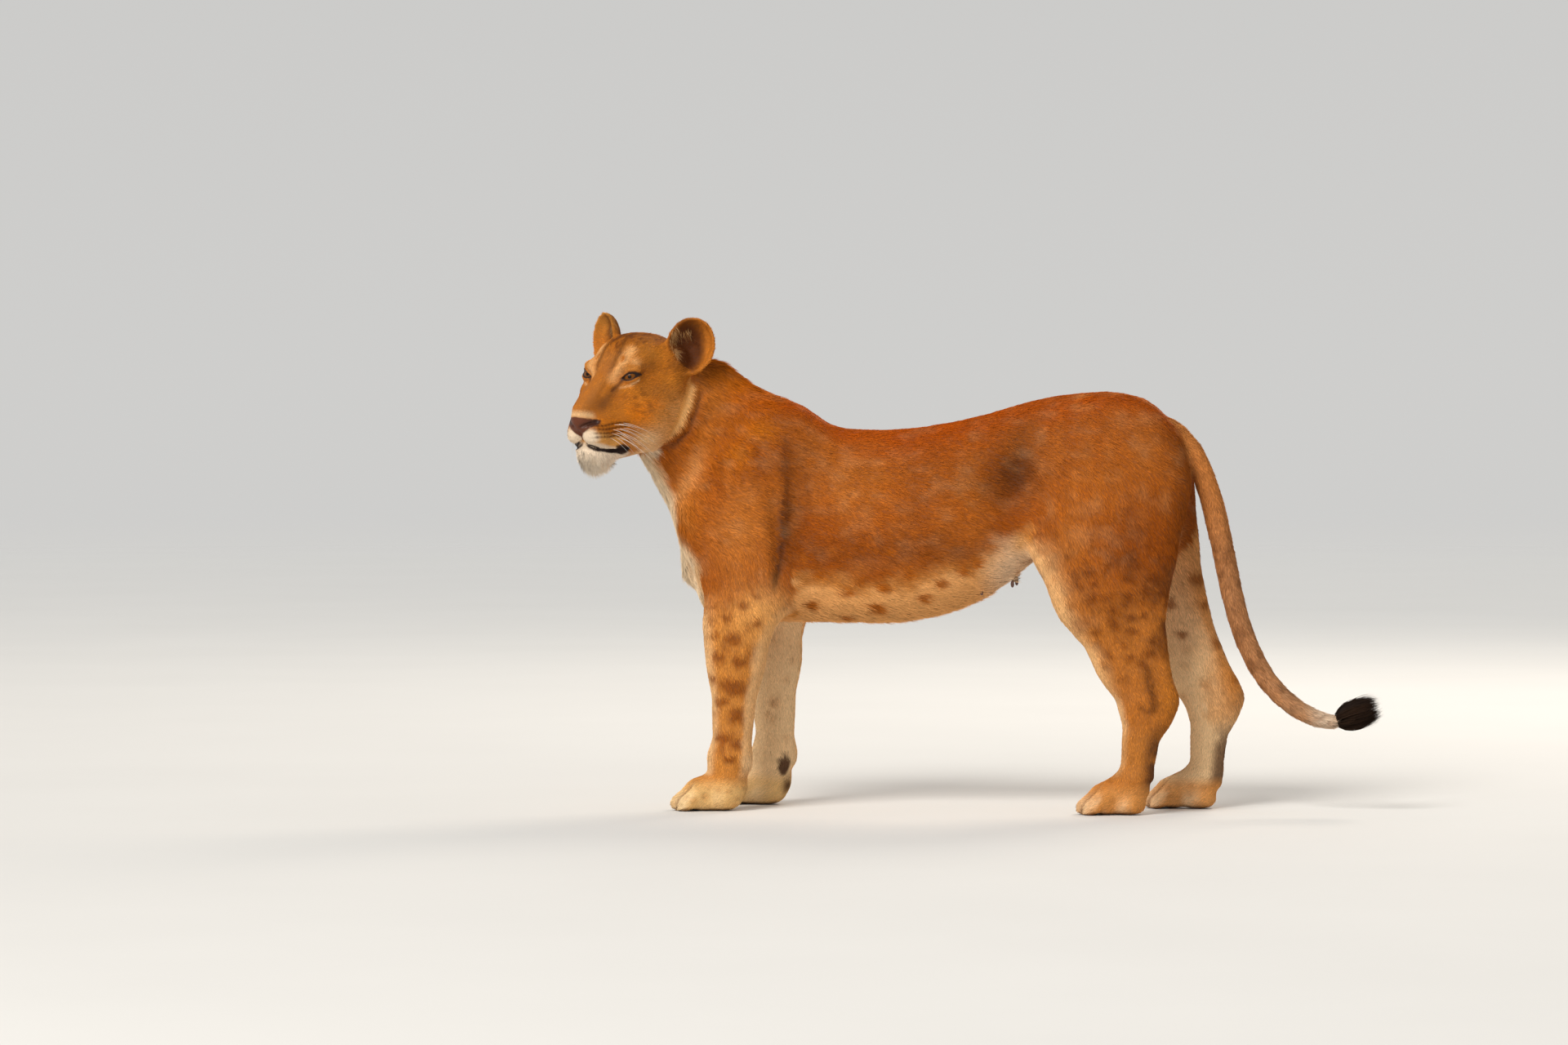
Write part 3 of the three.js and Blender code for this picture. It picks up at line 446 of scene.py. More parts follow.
def carve_face(skin):
    q = to_head(skin.points)
    x, y, z = q.T
    face = (x > -60) & (skin.points[:, 2] > 700)

    def by(line, reach, middle=0):
        return hump(chain(q, line), middle, reach)

    push = np.zeros(len(q))
    push -= 4.2 * by(MOUTH, 2.6)
    push -= 2.6 * by(PHILTRUM, 1.8)
    push -= 8.0 * hump(y, 0, 9) * ramp(x, 84, 98) * ramp(-z, 122, 136) * ramp(z, -166, -156)
    push -= 5.5 * by(NOSTRIL, 3.2)
    push += 1.2 * by([(120, 14, -127), (104, 34, -113)], 3.0)
    # Lips roll out a little beside the line of the mouth.
    push += 1.3 * by(MOUTH, 2.6, 6.0)
    # Rows on the whisker pads.
    for row in range(4):
        line = hump(z - 0.16 * (78 - x), -120 - 9 * row, 1.6)
        push -= 0.7 * line * ramp(x, 22, 40) * ramp(-x, -112, -96) * (np.abs(y) > 20)
    push -= 1.2 * by([(14, 44, -18), (44, 34, -52), (66, 30, -78)], 5)
    # Heavy brow over the eye, a furrow down the forehead, the bridge's edges.
    push += 3.4 * by([(32, 43, 17), (19, 62, 21), (0, 76, 20)], 8)
    push -= 3.0 * hump(y, 0, 9) * ramp(z, 20, 45) * ramp(x, -50, -20)
    push -= 1.8 * by([(52, 26, -14), (78, 27, -44)], 6)
    push -= 2.2 * by([(30, 62, -40), (10, 82, -48)], 7)
    push = np.where(face, push, 0.0)
    # The ruff stands over a crease where the cheek meets the neck.
    ruff = [(-158, 118, -8), (-140, 121, -52), (-122, 116, -98), (-98, 101, -133), (-70, 86, -155)]
    crease = [(-169, 128, -20), (-154, 129, -64), (-139, 122, -112), (-114, 102, -148), (-90, 84, -168)]
    push += 1.6 * by(ruff, 10) - 5.5 * by(crease, 8)
    q = q + skin.normals @ HEAD_TURN * push[:, None]
    q = np.where(face[:, None], carve_lids(q), q)
    skin.points = from_head(q)
    skin.measure()


def carve_body(skin):
    """The crease behind the shoulder, the groin's fold, the tendon's hollow and wrinkles before the shoulder."""
    p = skin.points
    x, y, z = p.T
    flank = ramp(np.abs(y), 55, 90)
    push = -8.5 * hump(x + 430 + 0.06 * (z - 600), 0, 14) * ramp(z, 500, 560) * ramp(760 - z, 0, 140) * flank
    push += 3.5 * hump(x + 458 + 0.06 * (z - 600), 0, 18) * ramp(z, 500, 560) * ramp(760 - z, 0, 140) * flank
    push -= 6.5 * hump(x - 112 - (z - 800) * 0.2, 0, 26) * ramp(z, 640, 720) * ramp(910 - z, 0, 80) * flank
    for start, lean in ((-548, 0.55), (-582, 0.62), (-616, 0.70)):
        wrinkle = 3.2 * hump(x - start + (z - 820) * lean, 0, 8)
        push -= wrinkle * ramp(z, 700, 760) * ramp(900 - z, 0, 70) * ramp(-skin.normals[:, 1], 0.2, 0.6)
    for s in SIDES:
        hollow = to_segment(p, (424 + HIND_SHIFT[s] * 0.85, s * 108, 400), (404 + HIND_SHIFT[s], s * 112, 270))
        push -= 4.0 * hump(hollow, 0, 15) * (np.abs(y - s * 98) < 60)
    skin.move(skin.normals * push[:, None])


def clefts(p, width):
    """How far points lie in the clefts between the toes, from 0 to 1."""
    x, y, z = p.T
    best = np.zeros(len(p))
    for at, beside, size in PAWS:
        mask = (x > at - 60) * ramp(84 - z, 0, 14) * (np.abs(y - beside) < 70)
        for cleft, back in ((-22.5, 44), (0, 52), (22.5, 44)):
            off = y - beside - cleft * size * (0.88 + 0.12 * ramp(at + 60 - x, 0, 60))
            best = np.maximum(best, hump(off, 0, width) * mask * ramp(at + back - x, 0, 26))
    return best


def carve_toes(skin):
    """Clefts between the toes, knuckles between the clefts."""
    x, y, z = skin.points.T
    push = -6.0 * clefts(skin.points, 3.4) + 1.6 * (clefts(skin.points, 13.0) - clefts(skin.points, 8.0))
    back = np.zeros(len(x))
    for at, beside, _ in PAWS:
        off = np.abs(y - beside)
        here = (np.abs(x - at) < 80) * (off < 70)
        back = np.maximum(back, ramp(off, 21, 27) * ramp(at + 44 - x, 0, 30) * ramp(70 - z, 0, 16) * here)
    skin.move(skin.normals * push[:, None] + back[:, None] * [9.0, 0, -1.5] * ramp(z, 4, 14)[:, None])


# Coat by region: length, width, lift from the skin in degrees, tufts for each square centimetre, where it lies.
COAT = {
    "head": (7.5, 2.2, 11, 20, None),
    "ear": (5.6, 1.8, 14, 27, None),
    "neck": (17, 3.0, 12, 10.5, (0.75, 0, -0.66)),
    "chest": (14, 2.9, 9.5, 9.8, (0.92, 0, -0.39)),
    "abdomen": (14, 2.9, 9.5, 9.8, (0.95, 0, -0.31)),
    "hips": (14, 2.9, 9.5, 9.8, (0.88, 0, -0.48)),
    "foreleg_upper": (12, 2.8, 9.5, 10.5, (0.3, 0, -0.95)),
    "forearm": (9, 2.5, 10, 13, (0.12, 0, -1)),
    "fore_paw": (6.5, 2.3, 11, 17, (-0.8, 0, -0.5)),
    "thigh": (13, 2.9, 9.5, 10, (0.5, 0, -0.86)),
    "shank": (10, 2.7, 10, 12, (0.35, 0, -0.94)),
    "hind_foot": (8, 2.5, 11, 14, (-0.05, 0, -1)),
    "hind_paw": (6.5, 2.3, 11, 17, (-0.8, 0, -0.5)),
    "tail": (11, 2.9, 14, 12.5, None),
}


KINDS = list(COAT)


def kind_of(node):
    for kind in sorted(COAT, key=len, reverse=True):
        if FLESH[node].startswith(kind):
            return kind
    raise ValueError(FLESH[node])


def is_kind(kind, *names):
    return np.isin(kind, [KINDS.index(name) for name in names])


def lay_coat(skin):
    """Gives each vertex of the skin its coat: lie, length, width, lift and count."""
    p, n = skin.points, skin.normals
    q = to_head(p)
    px, _, pz = p.T
    nx, _, nz = n.T
    hx, hy, hz = q.T
    node = nearest_nodes(p)
    kind = np.array([KINDS.index(kind_of(i)) for i in range(len(FLESH))])[node]
    table = np.array([c[:4] for c in COAT.values()], dtype=float)
    length, width, lift, count = table[kind].T.copy()
    lie = np.zeros((len(p), 3))
    for i, row in enumerate(COAT.values()):
        if row[4] is not None:
            lie[kind == i] = row[4]
    side = np.sign(hy) + (hy == 0)
    away = unit(q - [112, 0, -96])
    away[:, 0] -= 0.35 * ramp(hx, 60, -60)
    cup = q - EAR_ROOT * np.column_stack([np.ones(len(q)), side, np.ones(len(q))])
    on_head, on_ear = is_kind(kind, "head"), is_kind(kind, "ear")
    lie[on_head] = away[on_head] @ HEAD_TURN.T
    lie[on_ear] = unit(cup)[on_ear] @ HEAD_TURN.T
    step = np.gradient(TAIL_PATH, axis=0)
    tail_ids = np.nonzero(is_kind(kind, "tail"))[0]
    pick = np.argmin(((p[tail_ids][:, None, [0, 2]] - TAIL_PATH[None]) ** 2).sum(2), axis=1)
    lie[tail_ids] = np.column_stack([step[pick, 0], np.zeros(len(pick)), step[pick, 1]])
    # Longer hair: ridge of the neck, throat, chest, belly, elbows, back of the thighs, cheeks and ruff.
    up, down = ramp(nz, 0.55, 0.95), ramp(-nz, 0.45, 0.9)
    ahead, behind = ramp(-nx, 0.5, 0.9), ramp(nx, 0.5, 0.9)
    trunk, neck = is_kind(kind, "neck", "chest", "abdomen", "hips"), is_kind(kind, "neck")
    arms = is_kind(kind, "foreleg_upper", "forearm")
    length += np.where(neck, 4 * up, 0) + np.where(trunk, 8 * down, 0)
    lift += np.where(neck, 3 * up, 0) + np.where(trunk, 8 * down, 0)
    length += np.where(trunk & (px < -500), 9 * ahead, 0)
    length += np.where(arms & (pz > 260), 9 * behind * ramp(pz, 260, 400), 0)
    length += np.where(is_kind(kind, "thigh"), 6 * behind, 0)
    # The head: shortest round the nose and eyes, longer at the cheeks, the ruff and under the jaw.
    front, rear, low = ramp(hx, 0, 90), ramp(-hx, 40, 130), ramp(-hz, 60, 150)
    length = np.where(on_head, 7 - 3.4 * front + 5 * rear + 4 * rear * low, length)
    width = np.where(on_head, 2.3 - 0.6 * front + 0.8 * rear, width)
    lift = np.where(on_head, 12 + 1 * rear, lift)
    count = np.where(on_head, 20 + 12 * front - 7 * rear, count)
    chin = on_head * ramp(-hz - 0.06 * (70 - hx), 170, 190) * ramp(hx, -10, 15)
    length += 13 * chin
    lift += 8 * chin
    edge = hump(chain(q, RUFF_EDGE), 0, 22)
    length, lift = length * (1 - 0.40 * edge), lift * (1 - 0.55 * edge)
    # Short above the line of the mouth, so that the line stays open.
    over_lips = hz > np.interp(np.abs(hy), [0, 14, 25, 41, 50, 62], [-154, -160, -164, -167, -166, -160])
    short = np.minimum(length, 1.2 + 0.55 * np.maximum(chain(q, MOUTH) - 3, 0))
    length = np.where(on_head & over_lips & (hx > 0), short, length)
    eye = np.full(len(q), 99.0)
    for s in SIDES:
        along, across, out = ((q - eye_at(s)) @ eye_frame(s)).T
        eye = np.minimum(eye, np.where(out > 0, lid_gap(along, across), 99.0))
    near_eye = on_head & (eye < 12)
    length = np.where(near_eye, np.minimum(length, 3.6 + 0.2 * eye), length)
    width = np.where(near_eye, 1.6, width)
    count = np.where(near_eye, 30, count)
    depth = np.where(on_ear, 1.6, np.clip(length * np.sin(np.radians(lift)) * 1.05, 0.8, 7.0))
    depth *= 1 - 0.8 * bare_skin(q, eye)
    packed = np.column_stack([unit(lie), length, width, lift, count, depth])
    packed = spread(packed, skin.edges, 10)
    lie = packed[:, :3] - np.einsum("ij,ij->i", packed[:, :3], n)[:, None] * n
    skin.lie = unit(lie)
    skin.length, skin.width, skin.lift, skin.count, skin.depth = packed[:, 3:].T
    skin.kind, skin.eye = kind, eye


def bare_skin(q, eye):
    """Where no coat grows: the nose, the lips' line and the lids' edges, from 0 to 1."""
    mouth = 1 - ramp(np.minimum(chain(q, MOUTH), chain(q, LIP_FRONT)), 1.8, 3.0)
    lids = 1 - ramp(eye, 1.2, 2.6)
    return np.maximum.reduce([nose_leather(q), np.where(q[:, 0] > 10, mouth, 0), lids])


def nose_leather(q):
    """The bare leather of the nose, broad above and narrow below, from 0 to 1."""
    x, y, z = mirrored(q).T
    top = -95 - 0.10 * y
    foot = -141 + 0.80 * y
    inside = np.minimum.reduce([top - z, (z - foot) * 0.8, 42 - y, x - 84])
    strip = np.minimum.reduce([1.8 - y, z + 153, -130 - z, x - 90])
    return np.maximum(ramp(inside, -1.0, 1.0), ramp(strip, -0.8, 0.8))


# ---- markings --------------------------------------------------------------------------------------------------
TAWNY = (0.350, 0.080, 0.0060)
SANDY = (0.520, 0.170, 0.0300)
RUSSET = (0.420, 0.072, 0.0025)
CREAM = (0.850, 0.415, 0.1450)
PALE = (0.920, 0.580, 0.2900)
WHITE = (0.980, 0.775, 0.5600)
SPOT = (0.240, 0.056, 0.0040)
# Smoky fur and painted shade share this tone.
SMOKE_AND_SHADE = (0.105, 0.024, 0.0030)
INK = (0.006, 0.004, 0.0032)
LIP = (0.022, 0.009, 0.0065)
NOSE = (0.155, 0.042, 0.0170)

# Round spots along the belly's edge, on the forelegs and inside her right thigh: x, height and size.
BELLY_SPOTS = [
    (-365, 462, 15), (-292, 430, 13), (-282, 496, 17), (-216, 458, 19), (-197, 503, 15), (-106, 484, 17),
    (-64, 516, 17), (-341, 537, 16), (-378, 577, 13), (-139, 541, 18), (14, 562, 14), (-247, 549, 17),
    (-20, 541, 12), (-310, 590, 12), (-180, 590, 13), (-60, 580, 12), (46, 596, 11), (-400, 500, 10),
    (-250, 520, 11),
]
FORELEG_SPOTS = [
    (-534, 394, 22), (-514, 341, 19), (-563, 349, 15), (-530, 283, 26), (-479, 299, 14), (-527, 220, 20),
    (-504, 208, 11), (-560, 166, 15), (-520, 152, 17), (-478, 362, 19), (-506, 470, 13), (-559, 252, 16),
    (-545, 440, 13), (-478, 430, 13), (-580, 300, 11), (-490, 256, 11), (-572, 400, 11), (-540, 120, 13),
    (-475, 490, 12),
]
THIGH_SPOTS = [(440, 470, 17), (505, 527, 20), (548, 380, 14), (470, 400, 12), (520, 470, 13), (590, 300, 12)]


def belly_line(x):
    return np.interp(x, [-450, -350, -150, -11, 54, 131, 200], [534, 506, 494, 538, 582, 612, 640])


def spots(p, places, stretch, wobble):
    """How much a point lies in the nearest of some round spots, seen from the side."""
    best = np.zeros(len(p))
    for x, z, size in places:
        reach = np.hypot((p[:, 0] - x) / (size * stretch), (p[:, 2] - z) / (size / stretch))
        best = np.maximum(best, 1 - ramp(reach + wobble, 0.62, 1.18))
    return best


# Patches of the trunk and the legs' roots, on both sides: place, reach and share; the lit ones are painted light,
# the dark ones painted shade.
LIT_PATCHES = (
    ((-244, 150, 762), (115, 130, 92), 0.42), ((-4, 150, 725), (66, 130, 90), 0.34),
    ((-503, 150, 651), (58, 130, 110), 0.40), ((292, 150, 744), (120, 150, 80), 0.42),
    ((215, 130, 600), (50, 150, 100), 0.46), ((-586, 120, 836), (50, 120, 70), 0.40),
)
SHADE_PATCHES = (
    ((-374, 150, 700), (34, 130, 170), 0.45), ((366, 150, 633), (54, 150, 115), 0.50),
    ((-188, 150, 592), (230, 130, 34), 0.50), ((-120, 150, 690), (40, 130, 90), 0.35),
    ((96, 150, 640), (60, 130, 60), 0.25),
)


def coat_colour(p, n, kind, eye):
    """The coat's colour at points of the skin, for the skin and its tufts alike."""
    x, y, z = p.T
    nx, ny, nz = n.T
    m = mirrored(p)
    side = np.where(y < 0, -1, 1)
    broad, middle = cloud(p, 120, 1), cloud(p, 42, 2)
    small, tiny = cloud(p, (26, 26, 18), 3), cloud(p, (13, 13, 9), 4)
    ripple = cloud(p, (22, 60, 90), 6)
    colour = np.tile(np.array(TAWNY), (len(p), 1))
    flank = ramp(np.abs(ny), 0.3, 0.8)

    def at(*kinds):
        return is_kind(kind, *kinds)

    def above(low, high):
        return ramp(z, low, high)

    def below(high, reach):
        return ramp(high - z, 0, reach)

    def aside(low, high):
        return ramp(np.abs(y), low, high)

    def seam(a, b, reach):
        return hump(to_segment(p, a, b), 0, reach)

    def disc(at, reach, uneven=0):
        return hump(np.hypot((x - at[0]) / reach[0], (z - at[1]) / reach[1]) + uneven, 0, 1)

    def behind_shoulder(start, reach):
        return hump(x + start + 8 * np.sin(z / 60) - 0.06 * (z - 600), 0, reach)

    def lay(tone, share, where=1.0):
        nonlocal colour
        colour = mix(colour, tone, np.clip(share * where, 0, 1))

    trunk, collar, neck = at("chest", "abdomen", "hips", "neck"), at("neck", "chest"), at("neck")
    barrel, rump, rear = at("chest", "abdomen"), at("hips", "thigh"), at("abdomen", "hips", "thigh")
    lay(SANDY, 0.16 + 0.30 * broad + 0.22 * ripple * flank)
    lay(SPOT, ramp(tiny + 0.6 * small - 0.4 * broad, 0.45, 1.2), 0.40 * trunk)
    # Painted light and painted shade in patches over the trunk.
    for tone, patches, uneven in (
        ((0.56, 0.180, 0.024), LIT_PATCHES, 1 + 0.5 * small),
        ((0.20, 0.042, 0.003), SHADE_PATCHES, 1 + 0.6 * small + 0.4 * tiny),
    ):
        for place, reach, share in patches:
            lay(tone, share * near(m, place, reach) * uneven)
    flecks = ramp(cloud(p, (7, 7, 9), 41) + 0.5 * small, 0.55, 1.1)
    lay((0.20, 0.045, 0.004), 0.42 * flecks * trunk)
    # Redder along the back and the rump, the darkest at the nape.
    top = ramp(nz, 0.30, 0.85) * trunk
    lay(RUSSET, 0.85 * top + 0.25 * middle * top)
    lay((0.30, 0.062, 0.003), 0.26 * ramp(nz, 0.6, 0.95) * ramp(middle + 0.5 * broad, -0.3, 0.5), neck)
    lay((0.60, 0.24, 0.05), 0.30 * ramp(small + middle, 0.3, 1.0), top * ramp(x, -150, 50))
    # Shoulder and neck: lighter on the blade's front, painted warm light as an orange glow above, painted shade in
    # the folds that run down to the chest.
    lay(SANDY, 0.65 * near(m, [-526, 158, 625], [60, 60, 95]), at("chest", "foreleg_upper", "neck"))
    painted_glow = np.maximum(near(m, [-478, 108, 862], [44, 60, 26]), near(m, [-523, 129, 812], [34, 40, 24]))
    lay((0.56, 0.165, 0.008), 0.75 * painted_glow, trunk)
    lay((0.24, 0.052, 0.004), 0.70 * seam((-497, -122, 838), (-470, -135, 770), 13), collar)
    for s in SIDES:
        top, bend, foot = (-554, s * 104, 852), (-578, s * 121, 782), (-556, s * 146, 722)
        lay((0.26, 0.060, 0.005), 0.75 * seam(top, bend, 12) * ramp(small, -0.9, 0.1), collar)
        lay((0.26, 0.060, 0.005), 0.55 * seam(bend, foot, 9), collar)
        top, bend, foot = (-600, s * 104, 862), (-624, s * 112, 786), (-664, s * 100, 706)
        lay(SANDY, 0.75 * seam(top, bend, 18), collar)
        lay(CREAM, 0.55 * seam(bend, foot, 20), collar)
    lay((0.58, 0.185, 0.020), 0.60 * near(m, [-640, 105, 690], [46, 70, 66]) * (0.9 + 0.3 * small), collar)
    grain = ramp(cloud(p, (9, 9, 34), 21), -0.1, 0.6)
    behind_ear = hump(x + 606, 0, 44) * above(840, 900) * below(1040, 50) * ramp(np.abs(y + 150), 40, 80) * flank
    lay((0.52, 0.21, 0.050), 0.70 * behind_ear, neck)
    lay((0.24, 0.075, 0.012), 0.40 * behind_ear * grain, neck)
    # Painted shade before the thigh: a dark patch with a darker core, and along the fold that rises to the hips.
    shade_before_thigh = disc((96, 768), (62, 70), 0.18 * middle) * aside(30, 80)
    core = disc((96, 766), (24, 26)) * aside(30, 80)
    fold = hump(x - 112 - (z - 800) * 0.2, 0, 30) * above(700, 770) * below(930, 80) * aside(30, 80)
    shade_spread = disc((20, 735), (90, 40)) * aside(30, 80)
    lay((0.22, 0.052, 0.003), 0.26 * above(700, 790) * flank, barrel)
    lay((0.21, 0.050, 0.004), 0.20, rump)
    lay((0.36, 0.088, 0.003), 0.40 * flank * above(720, 780), neck)
    # Painted rim light along the top of the nape.
    lay((0.56, 0.140, 0.004), 0.55 * above(900, 985) * ramp(x, -700, -640), neck)
    lay((0.095, 0.026, 0.005), np.clip(0.62 * shade_before_thigh + 0.25 * core + 0.26 * fold + 0.22 * shade_spread, 0, 0.85), trunk)
    # Painted shade in the crease behind the shoulder, in a band beside it and darkest deep in the crease; a second
    # darker band low on the flank.
    crease = behind_shoulder(424, 8) * above(496, 540) * below(880, 90) * aside(60, 100)
    lay((0.085, 0.020, 0.003), 0.78 * crease)
    shade_band = behind_shoulder(410, 26)
    lay((0.16, 0.038, 0.003), 0.45 * shade_band * above(520, 580) * below(850, 120) * aside(60, 100))
    lay((0.16, 0.040, 0.004), 0.42 * ramp(nx, 0.25, 0.7) * above(560, 640) * below(900, 60) * aside(30, 60), rump)
    deepest_shade = hump(x - np.interp(z, [500, 560, 640, 720], [-440, -428, -421, -419]), 0, 7.5)
    deepest_shade = deepest_shade * above(490, 520) * below(740, 60) * aside(60, 100)
    lay((0.060, 0.014, 0.002), 0.82 * deepest_shade)
    lay(SPOT, 0.38 * hump(z, 600 + 24 * broad, 40) * ramp(x, -400, -340) * ramp(20 - x, 0, 80) * flank, trunk)
    net = 1 - ramp(cells(p, (46, 60, 40), 8), 0.20, 0.42)
    lay(SPOT, 0.45 * net * above(520, 560) * below(690, 90) * (x < 120), barrel)
    # Belly: a cream edge with a warmer seam and round spots; the groin is whiter.
    edge = belly_line(x) + 14 * small + 10 * middle
    belly = barrel * ramp(x, -520, -440)
    lay((0.58, 0.225, 0.050), 0.85 * ramp(edge + 30 - z, -20, 22), belly)
    under = ramp(edge + 4 - z, -10, 14)
    lay((0.97, 0.46, 0.155), 0.97 * under, belly)
    groin = ramp(-nz, 0.1, 0.6) * below(670, 60) * ramp(x, 0, 80)
    lay((1.0, 0.72, 0.47), 0.85 * groin, rear)
    lay((0.62, 0.26, 0.05), 0.8 * disc((112, 606), (22, 26)), rear)
    wobble = 0.22 * tiny
    marks = [spots(p + shift, BELLY_SPOTS, 1.12, wobble) for shift in ([0, 0, 0], [31, 0, 9])]
    marks = np.where(y < 0, *marks)
    lay((0.40, 0.100, 0.006), 0.95 * marks * (1 - 0.3 * above(540, 600)) * aside(16, 40), barrel)
    # Throat, breast and between the forelegs.
    centre = np.interp(z, [560, 630, 720, 800, 900], [2, -18, -38, -70, -120])
    front = ramp(-nx - 0.3 * nz, 0.50, 0.85) * ramp(74 - np.abs(y - centre) + 8 * small, 0, 44)
    front = front * (x < -480) * (z > 480) * trunk
    low_front = ramp(-nz - 0.4 * nx, 0.35, 0.85) * collar * (x < -500)
    lay(PALE, 0.95 * np.maximum(front, low_front) + 0.1 * small, np.maximum(front > 0, ramp(x, -720, -600)))
    throat = ramp(-nz - 0.5 * nx - 0.10 * ny, 0.62, 1.0) * neck
    lay((1.0, 0.75, 0.49), 0.94 * np.maximum(throat, front))
    # Legs: warm with dark spots outside, cream inside and behind, paler downwards.
    fore, hind = at("foreleg_upper", "forearm", "fore_paw"), at("thigh", "shank", "hind_foot", "hind_paw")
    legs = fore | hind
    inner = ramp(-ny * side, -0.10, 0.50)
    leg_x = x - np.where(y > 0, FORE_SHIFT[1], 0) * fore - np.where(y > 0, HIND_SHIFT[1], 0) * hind
    lay((0.66, 0.260, 0.048), 0.84 * below(520, 130), fore)
    lay((0.50, 0.172, 0.028), 0.80 * below(600, 200), hind)
    lay((0.95, 0.60, 0.30), 0.74 * ramp(-nx, 0.35, 0.85) * below(510, 100), legs)
    q = np.column_stack([leg_x, y, z])
    net = 0.7 * (1 - ramp(cells(q, (52, 60, 40), 9), 0.16, 0.36)) * below(560, 80) * above(90, 150)
    dark = np.maximum(spots(q, FORELEG_SPOTS, 1.25, wobble), net)
    lay((0.21, 0.046, 0.003), 0.80 * dark * (1 - inner), fore)
    smear = ramp(cloud(q, (30, 60, 12), 42), 0.15, 0.8) * below(540, 80) * above(110, 170)
    lay((0.26, 0.062, 0.005), 0.55 * smear * (1 - inner), fore)
    lay(SMOKE_AND_SHADE, 0.30 * ramp(middle + small, -0.1, 0.7) * below(640, 160) * above(330, 420) * (1 - inner), hind)
    mottle = 1 - ramp(cells(q, (42, 60, 27), 10) + 0.12 * tiny, 0.24, 0.48)
    lay((0.15, 0.032, 0.002), 0.68 * mottle * (1 - inner) * below(720, 180) * above(270, 350), hind)
    # Dark fur and painted shade on the back of the hind legs.
    rear_dark_and_shade = ramp(nx, 0.10, 0.6) * above(330, 380) * below(660, 160) * ramp(middle + 0.5 * small, -0.5, 0.2)
    lay(SMOKE_AND_SHADE, 0.62 * rear_dark_and_shade * (1 - 0.95 * inner), hind)
    back_edge = ramp(nx, 0.35, 0.8) * below(500, 80)
    inside = inner * np.where(fore, below(560, 90), below(790, 90))
    pale = np.maximum(inside, 0.9 * back_edge * fore * above(60, 130))
    lay(CREAM, 0.92 * pale, legs)
    lay(PALE, 0.85 * pale * below(480, 200), legs)
    lay((1.0, 0.69, 0.38), 0.86 * pale * below(640, 240), legs)
    lay((0.88, 0.42, 0.13), 0.60 * back_edge * (1 - inner) * above(90, 150), fore)
    lay((0.66, 0.33, 0.12), 0.22 * ramp(broad + middle, 0.0, 1.0) * inner * above(120, 200), legs)
    warm = 0.60 * ramp(leg_x - 372 + 30 * small, -14, 34) * below(420, 120) * above(150, 230) * inner
    lay((0.50, 0.190, 0.036), warm, hind)
    lay((0.56, 0.210, 0.045), 0.45 * ramp(nx, -0.1, 0.5) * above(400, 470) * inner, hind)
    # A painted highlight along the front edge of the hind legs.
    front_highlight = ramp(-nx, 0.15, 0.65) * above(250, 330) * below(640, 60) * (1 - 0.5 * ramp(tiny + small, 0, 1))
    lay((0.92, 0.52, 0.22), 0.86 * front_highlight, hind)
    elbow = hump(gauge(q, [-448, 0, 470], [34, 400, 40]) + 0.25 * small, 0, 1)
    lay(CREAM, 0.60 * elbow, fore)
    pale_arm = hump(gauge(q, [-488, 0, 448], [62, 400, 58]) + 0.30 * small, 0, 1)
    lay((0.92, 0.45, 0.130), 0.62 * pale_arm * (1 - inner) * (1 - 0.8 * dark), fore)
    net = 1 - ramp(cells(q, (52, 70, 44), 13), 0.16, 0.34)
    lay((0.34, 0.105, 0.018), np.where(fore, 0.55, 0.22) * net * inner * above(120, 200), legs)
    lay((0.62, 0.230, 0.042), 0.80 * ramp(nx, 0.0, 0.55) * above(230, 300) * below(620, 120) * inner, hind)
    lay((0.66, 0.36, 0.18), 0.40 * hump(leg_x - 330, 0, 40) * above(330, 400) * below(620, 80) * inner, hind)
    marks = spots(p, THIGH_SPOTS, 1.1, wobble)
    lay((0.26, 0.075, 0.012), 0.80 * marks * (y > 0) * inner, hind)
    # Hind shank and foot: orange behind the hock, painted shade in the hollow before the tendon, smoky behind the
    # metatarsus.
    lay((0.50, 0.165, 0.018), 0.75 * near(q, [446, 0, 262], [28, 400, 60]), hind * (1 - 0.3 * inner))
    for s in SIDES:
        here = hind * (y * s > 0)
        hollow = to_segment(q, (402, s * 131, 322), (417, s * 133, 246))
        lay((0.07, 0.018, 0.004), 0.72 * hump(hollow, 0, 12), here)
        ring = to_segment(q, (384, s * 134, 246), (408, s * 134, 232))
        lay((0.09, 0.024, 0.004), 0.55 * hump(ring, 0, 7), here)
    foot = at("hind_foot", "shank", "hind_paw")
    lay((0.50, 0.190, 0.036), 0.60 * below(220, 60) * above(60, 90) * (1 - inner), foot)
    smoke = ramp(leg_x - 392 - 0.10 * (z - 120), -8, 22) * below(225, 90) * above(12, 40)
    lay((0.100, 0.034, 0.012), 0.85 * smoke * ramp(small + 1.2, 0.4, 1.0), at("hind_foot", "hind_paw"))
    toes = at("fore_paw", "hind_paw") * ramp(74 - z, -10, 30)
    lay(np.where(fore[:, None], (1.0, 0.62, 0.240), (0.80, 0.34, 0.085)), 0.88 * toes)
    lay((1.0, 0.80, 0.52), 0.48 * toes * below(64, 40) * ramp(-nx + 0.4, 0, 0.8))
    lay((0.52, 0.200, 0.050), 0.35 * (1 - ramp(cells(q, (26, 26, 22), 15), 0.2, 0.5)) * toes)
    lay(SMOKE_AND_SHADE, 0.75 * below(10, 7), legs)
    heel = np.zeros(len(p))
    for s in SIDES:
        blotch = gauge(p, [-438 - (0 if s > 0 else 78), s * 60, 95], [15, 16, 26])
        heel = np.maximum(heel, 1 - ramp(blotch + 0.12 * tiny, 0.85, 1.25))
        heel = np.maximum(heel, near(p, [-506 + FORE_SHIFT[s], s * 70, 44], [18, 26, 26]))
    lay((0.055, 0.017, 0.007), np.clip(0.95 * heel, 0, 0.94), fore)
    # Painted shade in the clefts between the toes.
    lay((0.16, 0.050, 0.014), 0.80 * clefts(p, 3.2))
